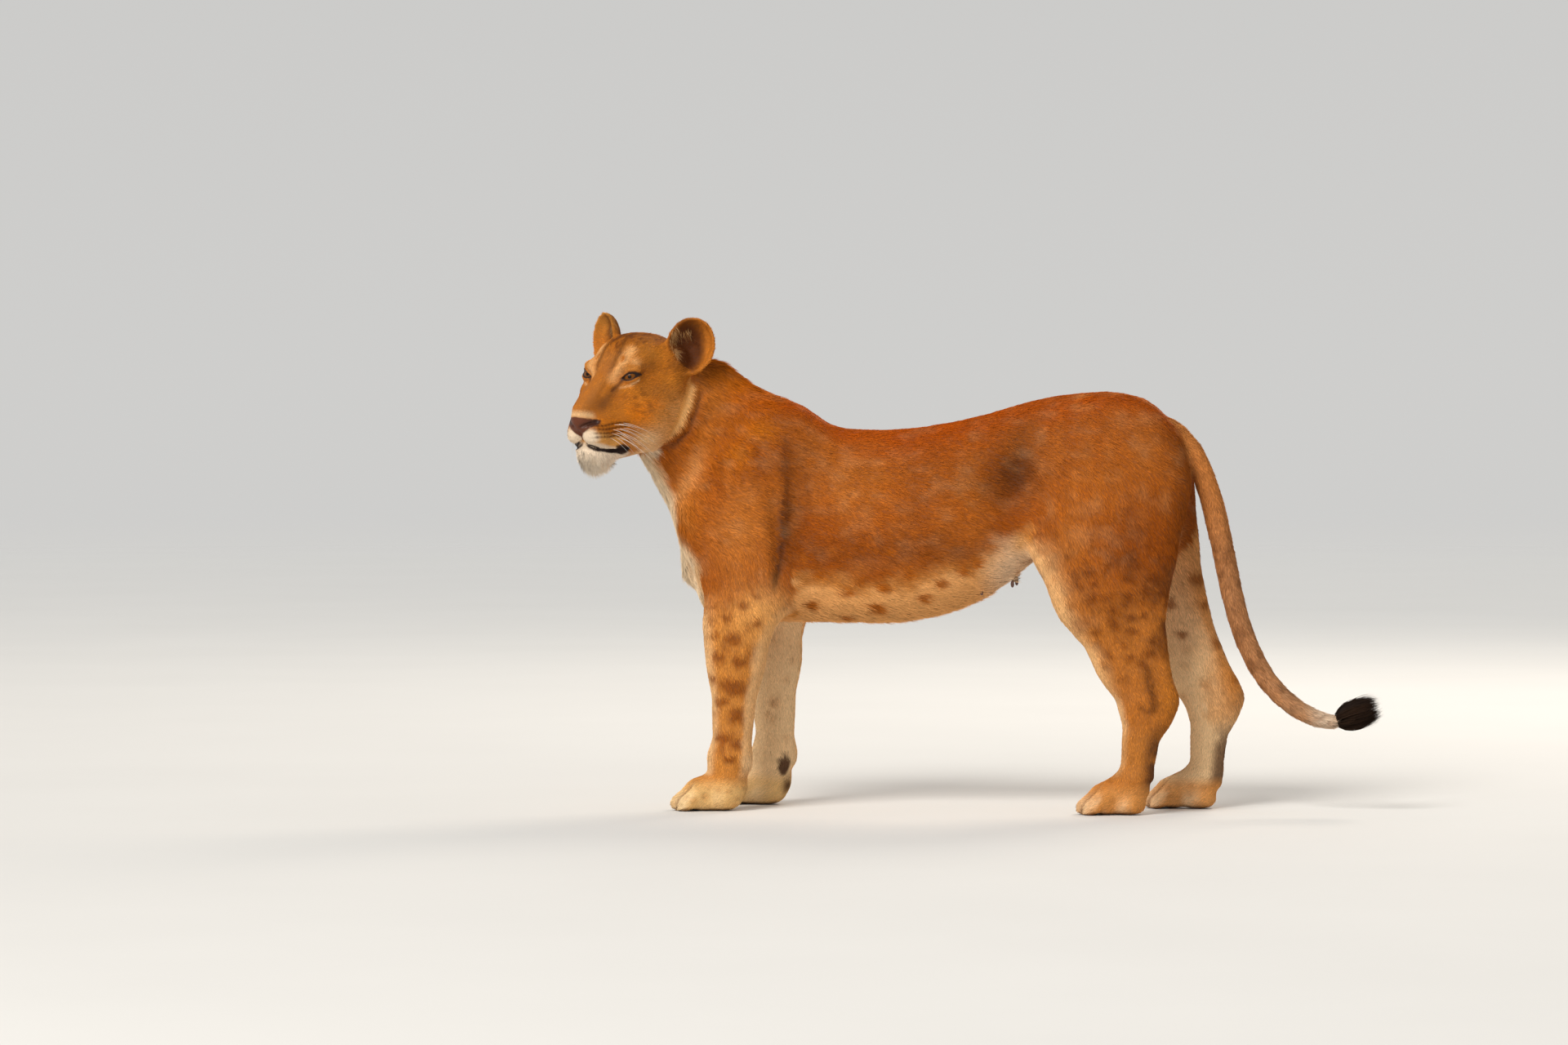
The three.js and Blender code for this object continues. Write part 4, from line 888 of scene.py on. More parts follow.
    # Tail: tawny above, greyer and paler towards the tuft.
    tail = at("tail")
    lay((0.55, 0.200, 0.050), 0.88, tail)
    lay((0.44, 0.200, 0.085), 0.85 * below(800, 340), tail)
    lay((0.52, 0.33, 0.19), 0.55 * ramp(x, 620, 760) * (0.7 + 0.5 * small), tail)
    lay((0.86, 0.66, 0.48), 0.80 * ramp(x, 740, 792), tail)
    lay((0.16, 0.055, 0.018), 0.55 * ramp(tiny + small, 0.0, 0.9) * below(780, 200), tail)
    lay(INK, ramp(x + 8 * small, 818, 836), tail)
    lay(CREAM, 0.75 * near(p, [452, 0, 800], [40, 34, 46]), at("hips"))
    # Painted shade below the tail's root.
    lay(SMOKE_AND_SHADE, 0.6 * near(p, [452, 0, 745], [36, 22, 36]), at("hips"))
    return paint_head(colour, p, n, at("head"), at("ear"), neck, eye, small, middle)


def paint_head(colour, p, n, on_head, on_ear, on_neck, eye, small, middle):
    """The head's own markings, laid over the coat's colour."""
    q = to_head(p)
    q_small = cloud(q, 7, 11)
    hx, hy, hz = q.T
    side = np.abs(hy)
    m = mirrored(q)
    local_n = n @ HEAD_TURN

    def line(*points):
        return chain(q, list(points))

    def streak(reach, *points):
        return hump(line(*points), 0, reach)

    def blob(at, reach):
        return near(m, at, reach)

    def lay(tone, share, where=on_head):
        nonlocal colour
        colour = mix(colour, tone, np.clip(share, 0, 1) * where)

    near_head = on_head | on_neck
    lay((0.54, 0.175, 0.016), 0.80 + 0.20 * small + 0.12 * middle)
    # Crown and forehead: brown above, two dark stripes that run down beside the bridge, broken flecks between.
    lay((0.24, 0.075, 0.008), 0.55 * ramp(hz, 60, 96) * ramp(-hx, -20, 60))
    lay((0.66, 0.26, 0.040), 0.55 * blob([-40, 66, 62], [40, 22, 26]) * (0.9 + 0.3 * q_small))
    lay((0.40, 0.16, 0.042), 0.55 * ramp(30 - side, 0, 16) * ramp(hx, -10, 20))
    lay((0.34, 0.100, 0.009), 0.42 * ramp(40 - side, 0, 16) * ramp(hz, 20, 44) * ramp(-hx, -30, 0))
    stripe = line((-70, 14, 100), (-34, 6, 92), (-9, 19, 74), (12, 23, 48), (34, 21, 15), (60, 20, -14))
    lay((0.120, 0.036, 0.004), 0.72 * hump(stripe + 1.2 * q_small, 0, 6.0) * ramp(hz, -16, 20))
    lay((0.13, 0.038, 0.005), 0.60 * streak(5.0, (-64, 44, 96), (-36, 42, 84), (-10, 46, 66)))
    flecks = ramp(cloud(q, (24, 6.0, 9), 12), 0.10, 0.42) * ramp(hz, 34, 66) * ramp(66 - side, 0, 22)
    lay((0.13, 0.034, 0.007), 0.62 * flecks)
    # A pale brow with a warm spot in it, pale above the lid and under it, a dark tear line.
    brow = line((40, 33, -4), (25, 41, 22), (10, 42, 46), (-8, 42, 60))
    pale = np.maximum(hump(brow + 1.5 * q_small, 0, 12), 0.8 * blob([0, 60, 34], [16, 14, 13]))
    lay((0.95, 0.50, 0.19), 0.86 * pale)
    spot = line((7, 33, 44), (20, 37, 24))
    lay((0.48, 0.130, 0.006), 0.92 * ramp(7.0 - spot + 1.5 * q_small, 0, 4))
    lay((0.16, 0.045, 0.006), 0.55 * streak(2.6, (5, 40, 47), (18, 45, 26)))
    lay((0.66, 0.28, 0.060), 0.6 * streak(3.2, (24, 52, 18), (13, 67, 19), (-4, 77, 19)))
    lay((0.25, 0.085, 0.016), 0.55 * blob([-36, 76, 26], [22, 12, 12]))
    lay((0.88, 0.52, 0.24), 0.78 * streak(3.0, (33, 47, -24), (19, 64, -19), (4, 78, -7)))
    lay((0.045, 0.014, 0.006), 0.92 * streak(4.4, (24, 44, -10), (36, 40, -22), (47, 36, -33)))
    # Painted shade down the side of the nose.
    lay((0.20, 0.065, 0.014), 0.55 * streak(9, (36, 42, -30), (60, 37, -48), (80, 36, -70)))
    # Dark lid margins, wider above the eye, where they also paint the brow's shadow.
    over = ramp(hz + 0.42 * (20 - hx), 3, 12)
    lay((0.036, 0.013, 0.006), 0.93 * (1 - ramp(eye, 1.6 + 1.5 * over, 3.4 + 2.2 * over)) * (hx > -50))
    lay((0.05, 0.017, 0.009), 0.80 * streak(3.0, (-14, 75, 11), (-32, 84, 18)))
    # Bridge, with painted shade on its side, and the pale edge above the nose.
    lay((0.20, 0.070, 0.014), 0.58 * blob([82, 34, -62], [36, 16, 20]))
    lay((0.54, 0.165, 0.013), 0.6 * hump(hy, 0, 16) * ramp(hx, 10, 50))
    lay(PALE, 0.9 * ramp(-hz, 76, 92) * ramp(hx, 92, 110) * ramp(46 - side, 0, 12))
    # Cheeks with painted warm light on them, mottled, with pale hair behind and a pale ruff before painted shade in
    # the crease.
    cheek = np.maximum(blob([2, 90, -80], [42, 30, 22]), blob([-26, 99, -62], [34, 24, 18]))
    lay((1.0, 0.250, 0.002), 0.95 * cheek * (0.75 + 0.35 * q_small))
    cheek = np.maximum(blob([8, 82, -42], [40, 34, 26]), blob([-10, 90, -62], [44, 34, 18]))
    lay((0.18, 0.050, 0.006), 0.62 * ramp(cloud(q, (15, 15, 9), 14), -0.15, 0.45) * cheek)
    lay((0.20, 0.052, 0.005), 0.55 * streak(4.5, (20, 78, -74), (-4, 92, -78), (-26, 100, -72)))
    lay((0.72, 0.320, 0.080), 0.60 * blob([-70, 106, -84], [62, 44, 62]) * (0.8 + 0.4 * q_small))
    ruff = np.maximum(blob([-72, 108, -112], [36, 30, 28]), blob([-104, 112, -78], [34, 30, 34]))
    lay(CREAM, 0.70 * ruff * (0.8 + 0.3 * q_small))
    lay(PALE, 0.85 * blob([-32, 88, -138], [44, 34, 22]))
    ahead = ramp(hx - np.interp(hz, [-150, -130, -99, -56, -12], [-68, -94, -116, -134, -152]), -6, 4)
    ahead = ahead * (side > 60) * (hz > -165) * (hz < 40)
    lay((0.70, 0.290, 0.060), 0.85 * ahead, on_neck)
    lay((0.86, 0.400, 0.110), 0.55 * streak(18, (-128, 116, -50), (-104, 112, -94), (-80, 100, -122)), near_head)
    lay((0.90, 0.50, 0.19), 0.80 * streak(6.5, *RUFF_EDGE), near_head)
    # Painted shade in the crease before the ruff.
    crease = [(-165, 128, -26), (-152, 129, -68), (-138, 122, -114), (-113, 102, -147), (-90, 84, -166)]
    lay((0.10, 0.030, 0.008), 0.72 * streak(5.6, *crease), near_head)
    lay(PALE, 0.85 * ramp(-local_n[:, 2], 0.45, 0.85) * ramp(-hz, 80, 120) * ramp(-hx, -20, 30))
    # Muzzle: warm above with dark rows of whisker roots, pale below.
    pad = ramp(hx, 16, 40) * ramp(-hz, 90, 102)
    lay((0.62, 0.185, 0.010), 0.92 * pad)
    low = -hz + 0.13 * (hx - 60)
    lay((0.84, 0.42, 0.110), 0.85 * pad * ramp(low, 122, 138))
    lay(WHITE, 0.95 * pad * np.maximum(ramp(low, 151, 159), ramp(low, 128, 142) * ramp(hx, 86, 104)))
    lay(WHITE, 0.9 * ramp(hx, 96, 108) * ramp(-hz, 112, 128))
    for row, top in enumerate((-112.5, -121, -130, -138.5)):
        off = hz - top + 0.145 * (105 - hx) * (1 - 0.10 * row) * -1 + 1.2 * np.sin(hx / 11 + row)
        beads = 0.68 + 0.32 * ramp(np.sin(hx * 0.72 + 1.7 * row), -0.5, 0.4)
        reach = ramp(hx, 24 + 3 * row, 36) * ramp(112 - hx, 0, 14) * (side > 22)
        lay((0.060, 0.016, 0.003), 0.92 * hump(off, 0, 3.0) * beads * reach)
    # Mouth and chin.
    lay((1.0, 0.80, 0.60), ramp(-hz - 0.06 * (70 - hx), 160, 168) * ramp(hx, -14, 10))
    lips = line(*MOUTH)
    lay(LIP, ramp(np.interp(hx, [20, 84], [4.4, 3.7]) - lips, -0.8, 0.2) * (hx > -5))
    lay(LIP, 0.97 * ramp(1.1 - gauge(m, [21, 57, -163], [17, 14, 11]) + 0.15 * q_small, -0.15, 0.15))
    lay(LIP, 0.9 * streak(2.2, *PHILTRUM) * (hz < -136))
    lay(LIP, ramp(2.8 - line(*LIP_FRONT), -0.6, 0.6) * (hx > 60))
    lay((0.085, 0.034, 0.020), 0.50 * ramp(hx, 48, 84) * ramp(6 - lips, 0, 1))
    leather = nose_leather(q)
    lay(NOSE, leather)
    lay((0.06, 0.020, 0.012), leather * ramp(side, 20, 36) * 0.8)
    lay(INK, 0.97 * streak(4.2, *NOSTRIL))
    lay(LIP, (1 - ramp(eye, 0.6, 2.4)) * (hx > -50))
    # Ears: painted shade in the hollow, warm rim, pale golden hair outside; dark backs.
    back = ramp(-local_n[:, 0] + 0.25 * local_n[:, 1] * np.sign(hy), 0.35, 0.8)
    hollow = gauge(m, [-138, 104, 70], [36, 26, 54])
    shell = gauge(m, [-176, 118, 62], [60, 46, 56])
    lay((0.62, 0.200, 0.022), 0.95, on_ear)
    lay((0.74, 0.320, 0.055), 0.75 * ramp(hz, 70, 140) * (1 - back) * (hy < 0), on_ear)
    lay((0.014, 0.004, 0.002), 0.98 * (1 - back) * (1 - ramp(hollow + 0.08 * q_small, 0.82, 1.22)), on_ear)
    lay((0.13, 0.034, 0.006), 0.75 * (1 - back) * (1 - ramp(hollow + 0.1 * q_small, 1.15, 1.7)), on_ear)
    lay((0.045, 0.024, 0.014), 0.85 * back * (1 - ramp(shell, 0.7, 1.1)), on_ear)
    near_ear = blob([-120, 108, 30], [20, 16, 26]) * ramp(local_n[:, 0], -0.4, 0.2)
    lay((0.055, 0.015, 0.006), 0.80 * near_ear)
    lay((0.45, 0.14, 0.018), 0.8 * blob([-140, 138, 18], [16, 16, 22]))
    lay((0.30, 0.10, 0.02), 0.5 * blob([-92, 98, 36], [16, 16, 20]))
    return colour


# ---- materials -----------------------------------------------------------------------------------------------
class Nodes:
    """A material's node tree, with one call for each node or each common run of nodes."""

    def __init__(self, name):
        self.material = bpy.data.materials.new(name)
        self.material.use_nodes = True
        self.tree = self.material.node_tree
        self.shader = self.tree.nodes["Principled BSDF"]

    def add(self, kind, **settings):
        node = self.tree.nodes.new(kind)
        for key, value in settings.items():
            if key[0].isupper():
                node.inputs[key.replace("_", " ")].default_value = value
            else:
                setattr(node, key, value)
        return node

    def link(self, source, target):
        self.tree.links.new(source, target)

    def attribute(self, name):
        return self.add("ShaderNodeAttribute", attribute_name=name)

    def noise(self, **settings):
        """Noise on the object's own coordinates."""
        coords = self.add("ShaderNodeTexCoord")
        grain = self.add("ShaderNodeTexNoise", **settings)
        self.link(coords.outputs["Object"], grain.inputs["Vector"])
        return grain, coords

    def grade(self, tint, grain, low, high):
        """The base colour is a tint that a grain makes darker and lighter."""
        tone = self.add("ShaderNodeMapRange", To_Min=low, To_Max=high)
        self.link(grain, tone.inputs["Value"])
        scaled = self.add("ShaderNodeVectorMath", operation="SCALE")
        self.link(tint, scaled.inputs[0])
        self.link(tone.outputs["Result"], scaled.inputs["Scale"])
        self.link(scaled.outputs["Vector"], self.shader.inputs["Base Color"])

    def blend(self, grain, low, high):
        """The base colour runs from one tone to another with a grain."""
        colours = self.add("ShaderNodeValToRGB")
        for stop, tone in zip(colours.color_ramp.elements, (low, high)):
            stop.color = (*tone, 1)
        self.link(grain, colours.inputs["Fac"])
        self.link(colours.outputs["Color"], self.shader.inputs["Base Color"])

    def bump(self, height, **settings):
        bump = self.add("ShaderNodeBump", **settings)
        self.link(height, bump.inputs["Height"])
        self.link(bump.outputs["Normal"], self.shader.inputs["Normal"])

    def finish(self, **constants):
        for key, value in constants.items():
            self.shader.inputs[key.replace("_", " ")].default_value = value
        return self.material


def hair_material(name, roughness, own_share=0.38):
    """Hair that takes its colour from the coat attribute and most of its shading from the skin beneath it."""
    m = Nodes(name)
    colour = m.attribute("coat")
    grain, _ = m.noise(Scale=220.0, Detail=3.0)
    m.grade(colour.outputs["Color"], grain.outputs["Fac"], 0.82, 1.18)
    fair = m.attribute("fair")
    own = m.add("ShaderNodeNewGeometry")
    share = m.add("ShaderNodeVectorMath", operation="SCALE", Scale=own_share)
    m.link(own.outputs["Normal"], share.inputs[0])
    both = m.add("ShaderNodeVectorMath", operation="ADD")
    m.link(fair.outputs["Vector"], both.inputs[0])
    m.link(share.outputs["Vector"], both.inputs[1])
    straight = m.add("ShaderNodeVectorMath", operation="NORMALIZE")
    m.link(both.outputs["Vector"], straight.inputs[0])
    m.link(straight.outputs["Vector"], m.shader.inputs["Normal"])
    return m.finish(Roughness=roughness, Specular_IOR_Level=0.04, Sheen_Weight=0.0, Sheen_Roughness=0.5)


def skin_material():
    """Short flat fur and bare skin: the coat's colours, with fine grain, glossier on the nose and lips."""
    m = Nodes("skin_and_short_fur")
    colour, wet = m.attribute("coat"), m.attribute("bare")
    fine, coords = m.noise(Scale=520.0, Detail=4.0, Roughness=0.6)
    pores = m.add("ShaderNodeTexVoronoi", Scale=420.0)
    m.link(coords.outputs["Object"], pores.inputs["Vector"])
    m.grade(colour.outputs["Color"], fine.outputs["Fac"], 0.85, 1.1)
    rough = m.add("ShaderNodeMapRange", To_Min=0.72, To_Max=0.36)
    m.link(wet.outputs["Fac"], rough.inputs["Value"])
    m.link(rough.outputs["Result"], m.shader.inputs["Roughness"])
    height = m.add("ShaderNodeMix", data_type="FLOAT")
    for i, source in ((0, wet.outputs["Fac"]), (2, fine.outputs["Fac"]), (3, pores.outputs["Distance"])):
        m.link(source, height.inputs[i])
    m.bump(height.outputs[0], Strength=0.35, Distance=0.0012)
    return m.finish(Specular_IOR_Level=0.22)


def eye_material(iris, rim):
    m = Nodes("amber_eye")
    rings = m.attribute("rings")
    fibres, _ = m.noise(Scale=900.0, Detail=3.0)
    wobble = m.add("ShaderNodeMath", operation="MULTIPLY_ADD")
    wobble.inputs[1].default_value = 0.03
    m.link(fibres.outputs["Fac"], wobble.inputs[0])
    m.link(rings.outputs["Fac"], wobble.inputs[2])
    pupil = (0.004, 0.003, 0.003)
    colours = m.add("ShaderNodeValToRGB")
    stops = colours.color_ramp.elements
    stops[0].position, stops[0].color = 0.0, (*pupil, 1)
    stops[1].position, stops[1].color = 1.0, (0.05, 0.02, 0.013, 1)
    for place, tone in (
        (0.20, pupil),
        (0.245, [0.80 * c for c in iris]),
        (0.46, [1.25 * c for c in iris]),
        (0.64, [0.70 * c for c in iris]),
        (0.71, rim),
        (0.78, (0.035, 0.014, 0.009)),
    ):
        stops.new(place).color = (*tone, 1)
    m.link(wobble.outputs[0], colours.inputs["Fac"])
    m.link(colours.outputs["Color"], m.shader.inputs["Base Color"])
    return m.finish(Roughness=0.35, Specular_IOR_Level=0.12, Coat_Weight=0.06, Coat_Roughness=0.04)


def leather_material(name, tone):
    m = Nodes(name)
    grain, _ = m.noise(Scale=380.0, Detail=4.0)
    m.blend(grain.outputs["Fac"], [c * 0.6 for c in tone], [c * 1.3 for c in tone])
    m.bump(grain.outputs["Fac"], Strength=0.4, Distance=0.0008)
    return m.finish(Roughness=0.5)


def whisker_material():
    m = Nodes("whisker")
    grain, _ = m.noise(Scale=60.0)
    m.blend(grain.outputs["Fac"], (0.72, 0.66, 0.56), (0.92, 0.90, 0.84))
    return m.finish(Roughness=0.4)


def floor_material(tone):
    """A plain floor that fades out far away, so that no line shows where it meets the room."""
    m = Nodes("pale_floor")
    grain, coords = m.noise(Scale=1.2, Detail=5.0)
    m.blend(grain.outputs["Fac"], [c * 0.97 for c in tone], [min(1, c * 1.03) for c in tone])
    away = m.add("ShaderNodeVectorMath", operation="LENGTH")
    m.link(coords.outputs["Object"], away.inputs[0])
    share = m.add(
        "ShaderNodeMapRange", interpolation_type="SMOOTHSTEP", From_Min=4.0, From_Max=26.0, To_Min=1.0, To_Max=0.0
    )
    m.link(away.outputs["Value"], share.inputs["Value"])
    m.link(share.outputs["Result"], m.shader.inputs["Alpha"])
    return m.finish(Roughness=0.85, Specular_IOR_Level=0.2)


# ---- hair made of small closed tufts ---------------------------------------------------------------------------
def set_attribute(mesh, name, kind, values):
    layer = mesh.attributes.new(name, kind, "POINT")
    key = {"FLOAT_COLOR": "color", "FLOAT_VECTOR": "vector", "FLOAT": "value"}[kind]
    if kind == "FLOAT_COLOR":
        values = np.column_stack([values, np.ones(len(values))])
    layer.data.foreach_set(key, np.asarray(values, dtype=np.float32).ravel())


def mesh_of(bm, name):
    """A mesh from a bmesh, which is freed."""
    mesh = bpy.data.meshes.new(name)
    bm.to_mesh(mesh)
    bm.free()
    return mesh


def smooth_all(mesh):
    mesh.polygons.foreach_set("use_smooth", np.full(len(mesh.polygons), True))


def mesh_from_arrays(name, points, tris, smooth=False):
    """A mesh of triangles from arrays, for shapes that are repeated many thousand times."""
    mesh = bpy.data.meshes.new(name)
    mesh.vertices.add(len(points))
    mesh.vertices.foreach_set("co", np.asarray(points, dtype=np.float32).ravel())
    mesh.loops.add(len(tris) * 3)
    mesh.loops.foreach_set("vertex_index", np.asarray(tris, dtype=np.int32).ravel())
    mesh.polygons.add(len(tris))
    mesh.polygons.foreach_set("loop_start", np.arange(0, len(tris) * 3, 3, dtype=np.int32))
    mesh.polygons.foreach_set("use_smooth", np.full(len(tris), smooth))
    mesh.update(calc_edges=True)
    return mesh


def strands(roots, ways, bends, lengths, widths, thick, normals, steps):
    """Closed tapering strands with three sides: points and triangles, step by step along each."""
    across = unit(np.cross(normals, ways))
    rings, count = [], len(roots)
    for i in range(steps):
        t = i / steps
        at = roots + ways * (lengths * t)[:, None] + bends * (lengths * t * t)[:, None]
        way = unit(ways + 2 * t * bends)
        up = unit(np.cross(way, across))
        w = widths * (1 - t ** 1.6) * (0.8 + 0.4 * math.sin(math.pi * min(1, t * 2))) / 2
        rings += [at - across * w[:, None], at + across * w[:, None], at + up * (w * 2 * thick)[:, None]]
    tip = roots + ways * lengths[:, None] + bends * lengths[:, None]
    points = np.stack(rings + [tip], axis=1)
    each = 3 * steps + 1
    faces = [(0, 1, 2)]
    for i in range(steps - 1):
        for k in range(3):
            a, b = 3 * i + k, 3 * i + (k + 1) % 3
            faces += [(b, a, a + 3), (b, a + 3, b + 3)]
    last = 3 * (steps - 1)
    faces += [(last + (k + 1) % 3, last + k, each - 1) for k in range(3)]
    faces = np.array(faces)
    tris = (faces[None] + (np.arange(count) * each)[:, None, None]).reshape(-1, 3)
    along = np.array([i / steps for i in range(steps) for _ in range(3)] + [1.0])
    return points.reshape(-1, 3), tris, np.tile(along, count), each


def hair_object(
    name, roots, ways, bends, lengths, widths, normals, colours, spots, material,
    steps=1, thick=0.4, tip=1.22, root=0.76,
):
    """One piece of hair, each strand darker at its root than at its tip: painted shade at the roots, painted light
    on the tips.
    """
    points, tris, along, each = strands(roots, ways, bends, lengths, widths, thick, normals, steps)
    mesh = mesh_from_arrays(name, to_row(points), tris)
    shade = (root + (tip - root) * along)[:, None]
    tinted = np.repeat(colours, each, axis=0) * shade
    set_attribute(mesh, "coat", "FLOAT_COLOR", tinted / np.maximum(1.0, tinted.max(axis=1, keepdims=True)))
    set_attribute(mesh, "fair", "FLOAT_VECTOR", np.repeat(normals, each, axis=0))
    # Each tuft is a small patch at its root's place on the skin's unwrap.
    patch_size = 0.003
    patch = np.zeros((each, 2))
    patch[:, 0] = patch_size * np.array([(i % 3) / 2 for i in range(each - 1)] + [0.5])
    patch[:, 1] = patch_size * np.array([(i // 3) / steps for i in range(each - 1)] + [1.0])
    uv = (spots[:, None, :] + patch[None]).reshape(-1, 2)
    layer = mesh.uv_layers.new(name="OFBake")
    layer.data.foreach_set("uv", np.clip(uv[tris.ravel()], 0.0, 1.0).astype(np.float32).ravel())
    mesh.materials.append(material)
    return keep(add_object(name, mesh))


def unwrap_spots(skin):
    """A place on an unwrap of the skin for each of its vertices."""
    draft = add_object("unwrap", mesh_from_arrays("unwrap", to_row(skin.points), skin.tris))
    coarse = with_modifier(draft, "DECIMATE", ratio=0.07)
    draft.data = coarse
    for obj in bpy.context.selected_objects:
        obj.select_set(False)
    draft.select_set(True)
    bpy.context.view_layer.objects.active = draft
    bpy.ops.object.mode_set(mode="EDIT")
    bpy.ops.mesh.select_all(action="SELECT")
    bpy.ops.uv.smart_project(angle_limit=math.radians(66), island_margin=0.004)
    bpy.ops.object.mode_set(mode="OBJECT")
    points, _ = arrays_of(coarse)
    tris = np.empty(len(coarse.loop_triangles) * 3, dtype=np.int64)
    coarse.loop_triangles.foreach_get("vertices", tris)
    loops = np.empty_like(tris)
    coarse.loop_triangles.foreach_get("loops", loops)
    uv = np.empty(len(coarse.loops) * 2)
    coarse.uv_layers.active.data.foreach_get("uv", uv)
    uv, loops, tris = uv.reshape(-1, 2), loops.reshape(-1, 3), tris.reshape(-1, 3)
    tree = BVHTree.FromPolygons(points.tolist(), tris.tolist())
    place = to_row(skin.points)
    found = [tree.find_nearest(Vector(p)) for p in place]
    face = np.array([f[2] for f in found])
    hit = np.array([f[0] for f in found])
    a, b, c = (points[tris[face, i]] for i in range(3))
    v0, v1, v2 = b - a, c - a, hit - a
    d00, d01, d11 = (v0 * v0).sum(1), (v0 * v1).sum(1), (v1 * v1).sum(1)
    d20, d21 = (v2 * v0).sum(1), (v2 * v1).sum(1)
    under = np.maximum(d00 * d11 - d01 * d01, 1e-18)
    w1 = np.clip((d11 * d20 - d01 * d21) / under, 0, 1)
    w2 = np.clip((d00 * d21 - d01 * d20) / under, 0, 1)
    a, b, c = (uv[loops[face, i]] for i in range(3))
    spots = a * (1 - w1 - w2)[:, None] + b * w1[:, None] + c * w2[:, None]
    bpy.data.objects.remove(draft)
    return np.clip(spots, 0.0, 0.996)


# ---- pieces ----------------------------------------------------------------------------------------------------
MADE = {}  # what an earlier operator leaves for the later ones


def settings():
    return bpy.context.scene.lioness


def make_skin(relief):
    mesh = build_skin_shape()
    # Finer faces on the face, then once more round the eyes.
    for eyes_only in (False, True):
        points, _ = arrays_of(mesh)
        q = to_head(to_work(points))
        x, y, z = q.T
        if eyes_only:
            chosen = np.minimum(*[np.linalg.norm(q - eye_at(s), axis=1) for s in SIDES]) < 31.0
        else:
            chosen = (x > -36) & (np.abs(y) < 98) & (z > -214) & (z < 40) & (points[:, 2] > 0.7)
        refine(mesh, chosen)
    points, tris = arrays_of(mesh)
    skin = Skin(to_work(points), tris)
    face = in_face(skin.points)
    skin.move(0.7 * (spread(skin.points, skin.edges, 6, 0.5 * face) - skin.points))
    carve_body(skin)
    carve_toes(skin)
    carve_face(skin)
    lay_coat(skin)
    colour = np.clip(coat_colour(skin.points, skin.normals, skin.kind, skin.eye), 0, 1)
    MADE["skin"], MADE["outer"], MADE["colour"] = skin, skin.points.copy(), colour
    inner = skin.points - skin.normals * (skin.depth * relief)[:, None]
    to_mesh(mesh, to_row(inner))
    mesh.name = "skin"
    smooth_all(mesh)
    q = to_head(skin.points)
    # Bare dark skin lies along the lips, wider than the tufts' own dark line.
    lips = np.minimum(chain(q, MOUTH), chain(q, LIP_FRONT))
    tone = mix(colour, LIP, (1 - ramp(lips, 3.6, 4.8)) * (q[:, 0] > -5))
    set_attribute(mesh, "coat", "FLOAT_COLOR", tone * 0.72)
    set_attribute(mesh, "bare", "FLOAT", bare_skin(q, skin.eye) * ramp(q[:, 0], -60, -40))
    skin.points = inner
    mesh.materials.clear()
    mesh.materials.append(skin_material())
    obj = keep(add_object("skin", mesh))
    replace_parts(obj, *[name for name in FLESH if name != "tail_tip"])
    return obj


def scatter(skin, weight, seed):
    """Random places on the skin: a triangle and shares of its corners, as many as the weight asks."""
    rng = np.random.default_rng(seed)
    a, b, c = (skin.points[skin.tris[:, i]] for i in range(3))
    area = np.linalg.norm(np.cross(b - a, c - a), axis=1) / 200.0  # in square centimetres
    expected = area * weight[skin.tris].mean(1)
    total = np.cumsum(expected)
    count = int(total[-1])
    picks = np.searchsorted(total, (np.arange(count) + rng.random(count)) * total[-1] / count)
    picks = np.minimum(picks, len(skin.tris) - 1)
    u, v = rng.random(count), rng.random(count)
    flip = u + v > 1
    u[flip], v[flip] = 1 - u[flip], 1 - v[flip]
    return skin.tris[picks], np.column_stack([1 - u - v, u, v]), rng


def at_places(values, corners, shares):
    shares = shares if values.ndim == 1 else shares[:, :, None]
    return (values[corners] * shares).sum(1)


COAT_PIECES = {
    "coat_face": ("head", True), "coat_head": ("head", False), "coat_ears": ("ear", None),
    "coat_neck": ("neck", None), "coat_chest": ("chest", None), "coat_belly": ("abdomen", None),
    "coat_hips": ("hips", None), "coat_shoulders": ("foreleg_upper", None),
    "coat_forelegs": ("forearm fore_paw", None), "coat_thighs": ("thigh", None),
    "coat_hindlegs": ("shank hind_foot hind_paw", None), "coat_tail": ("tail", None),
}


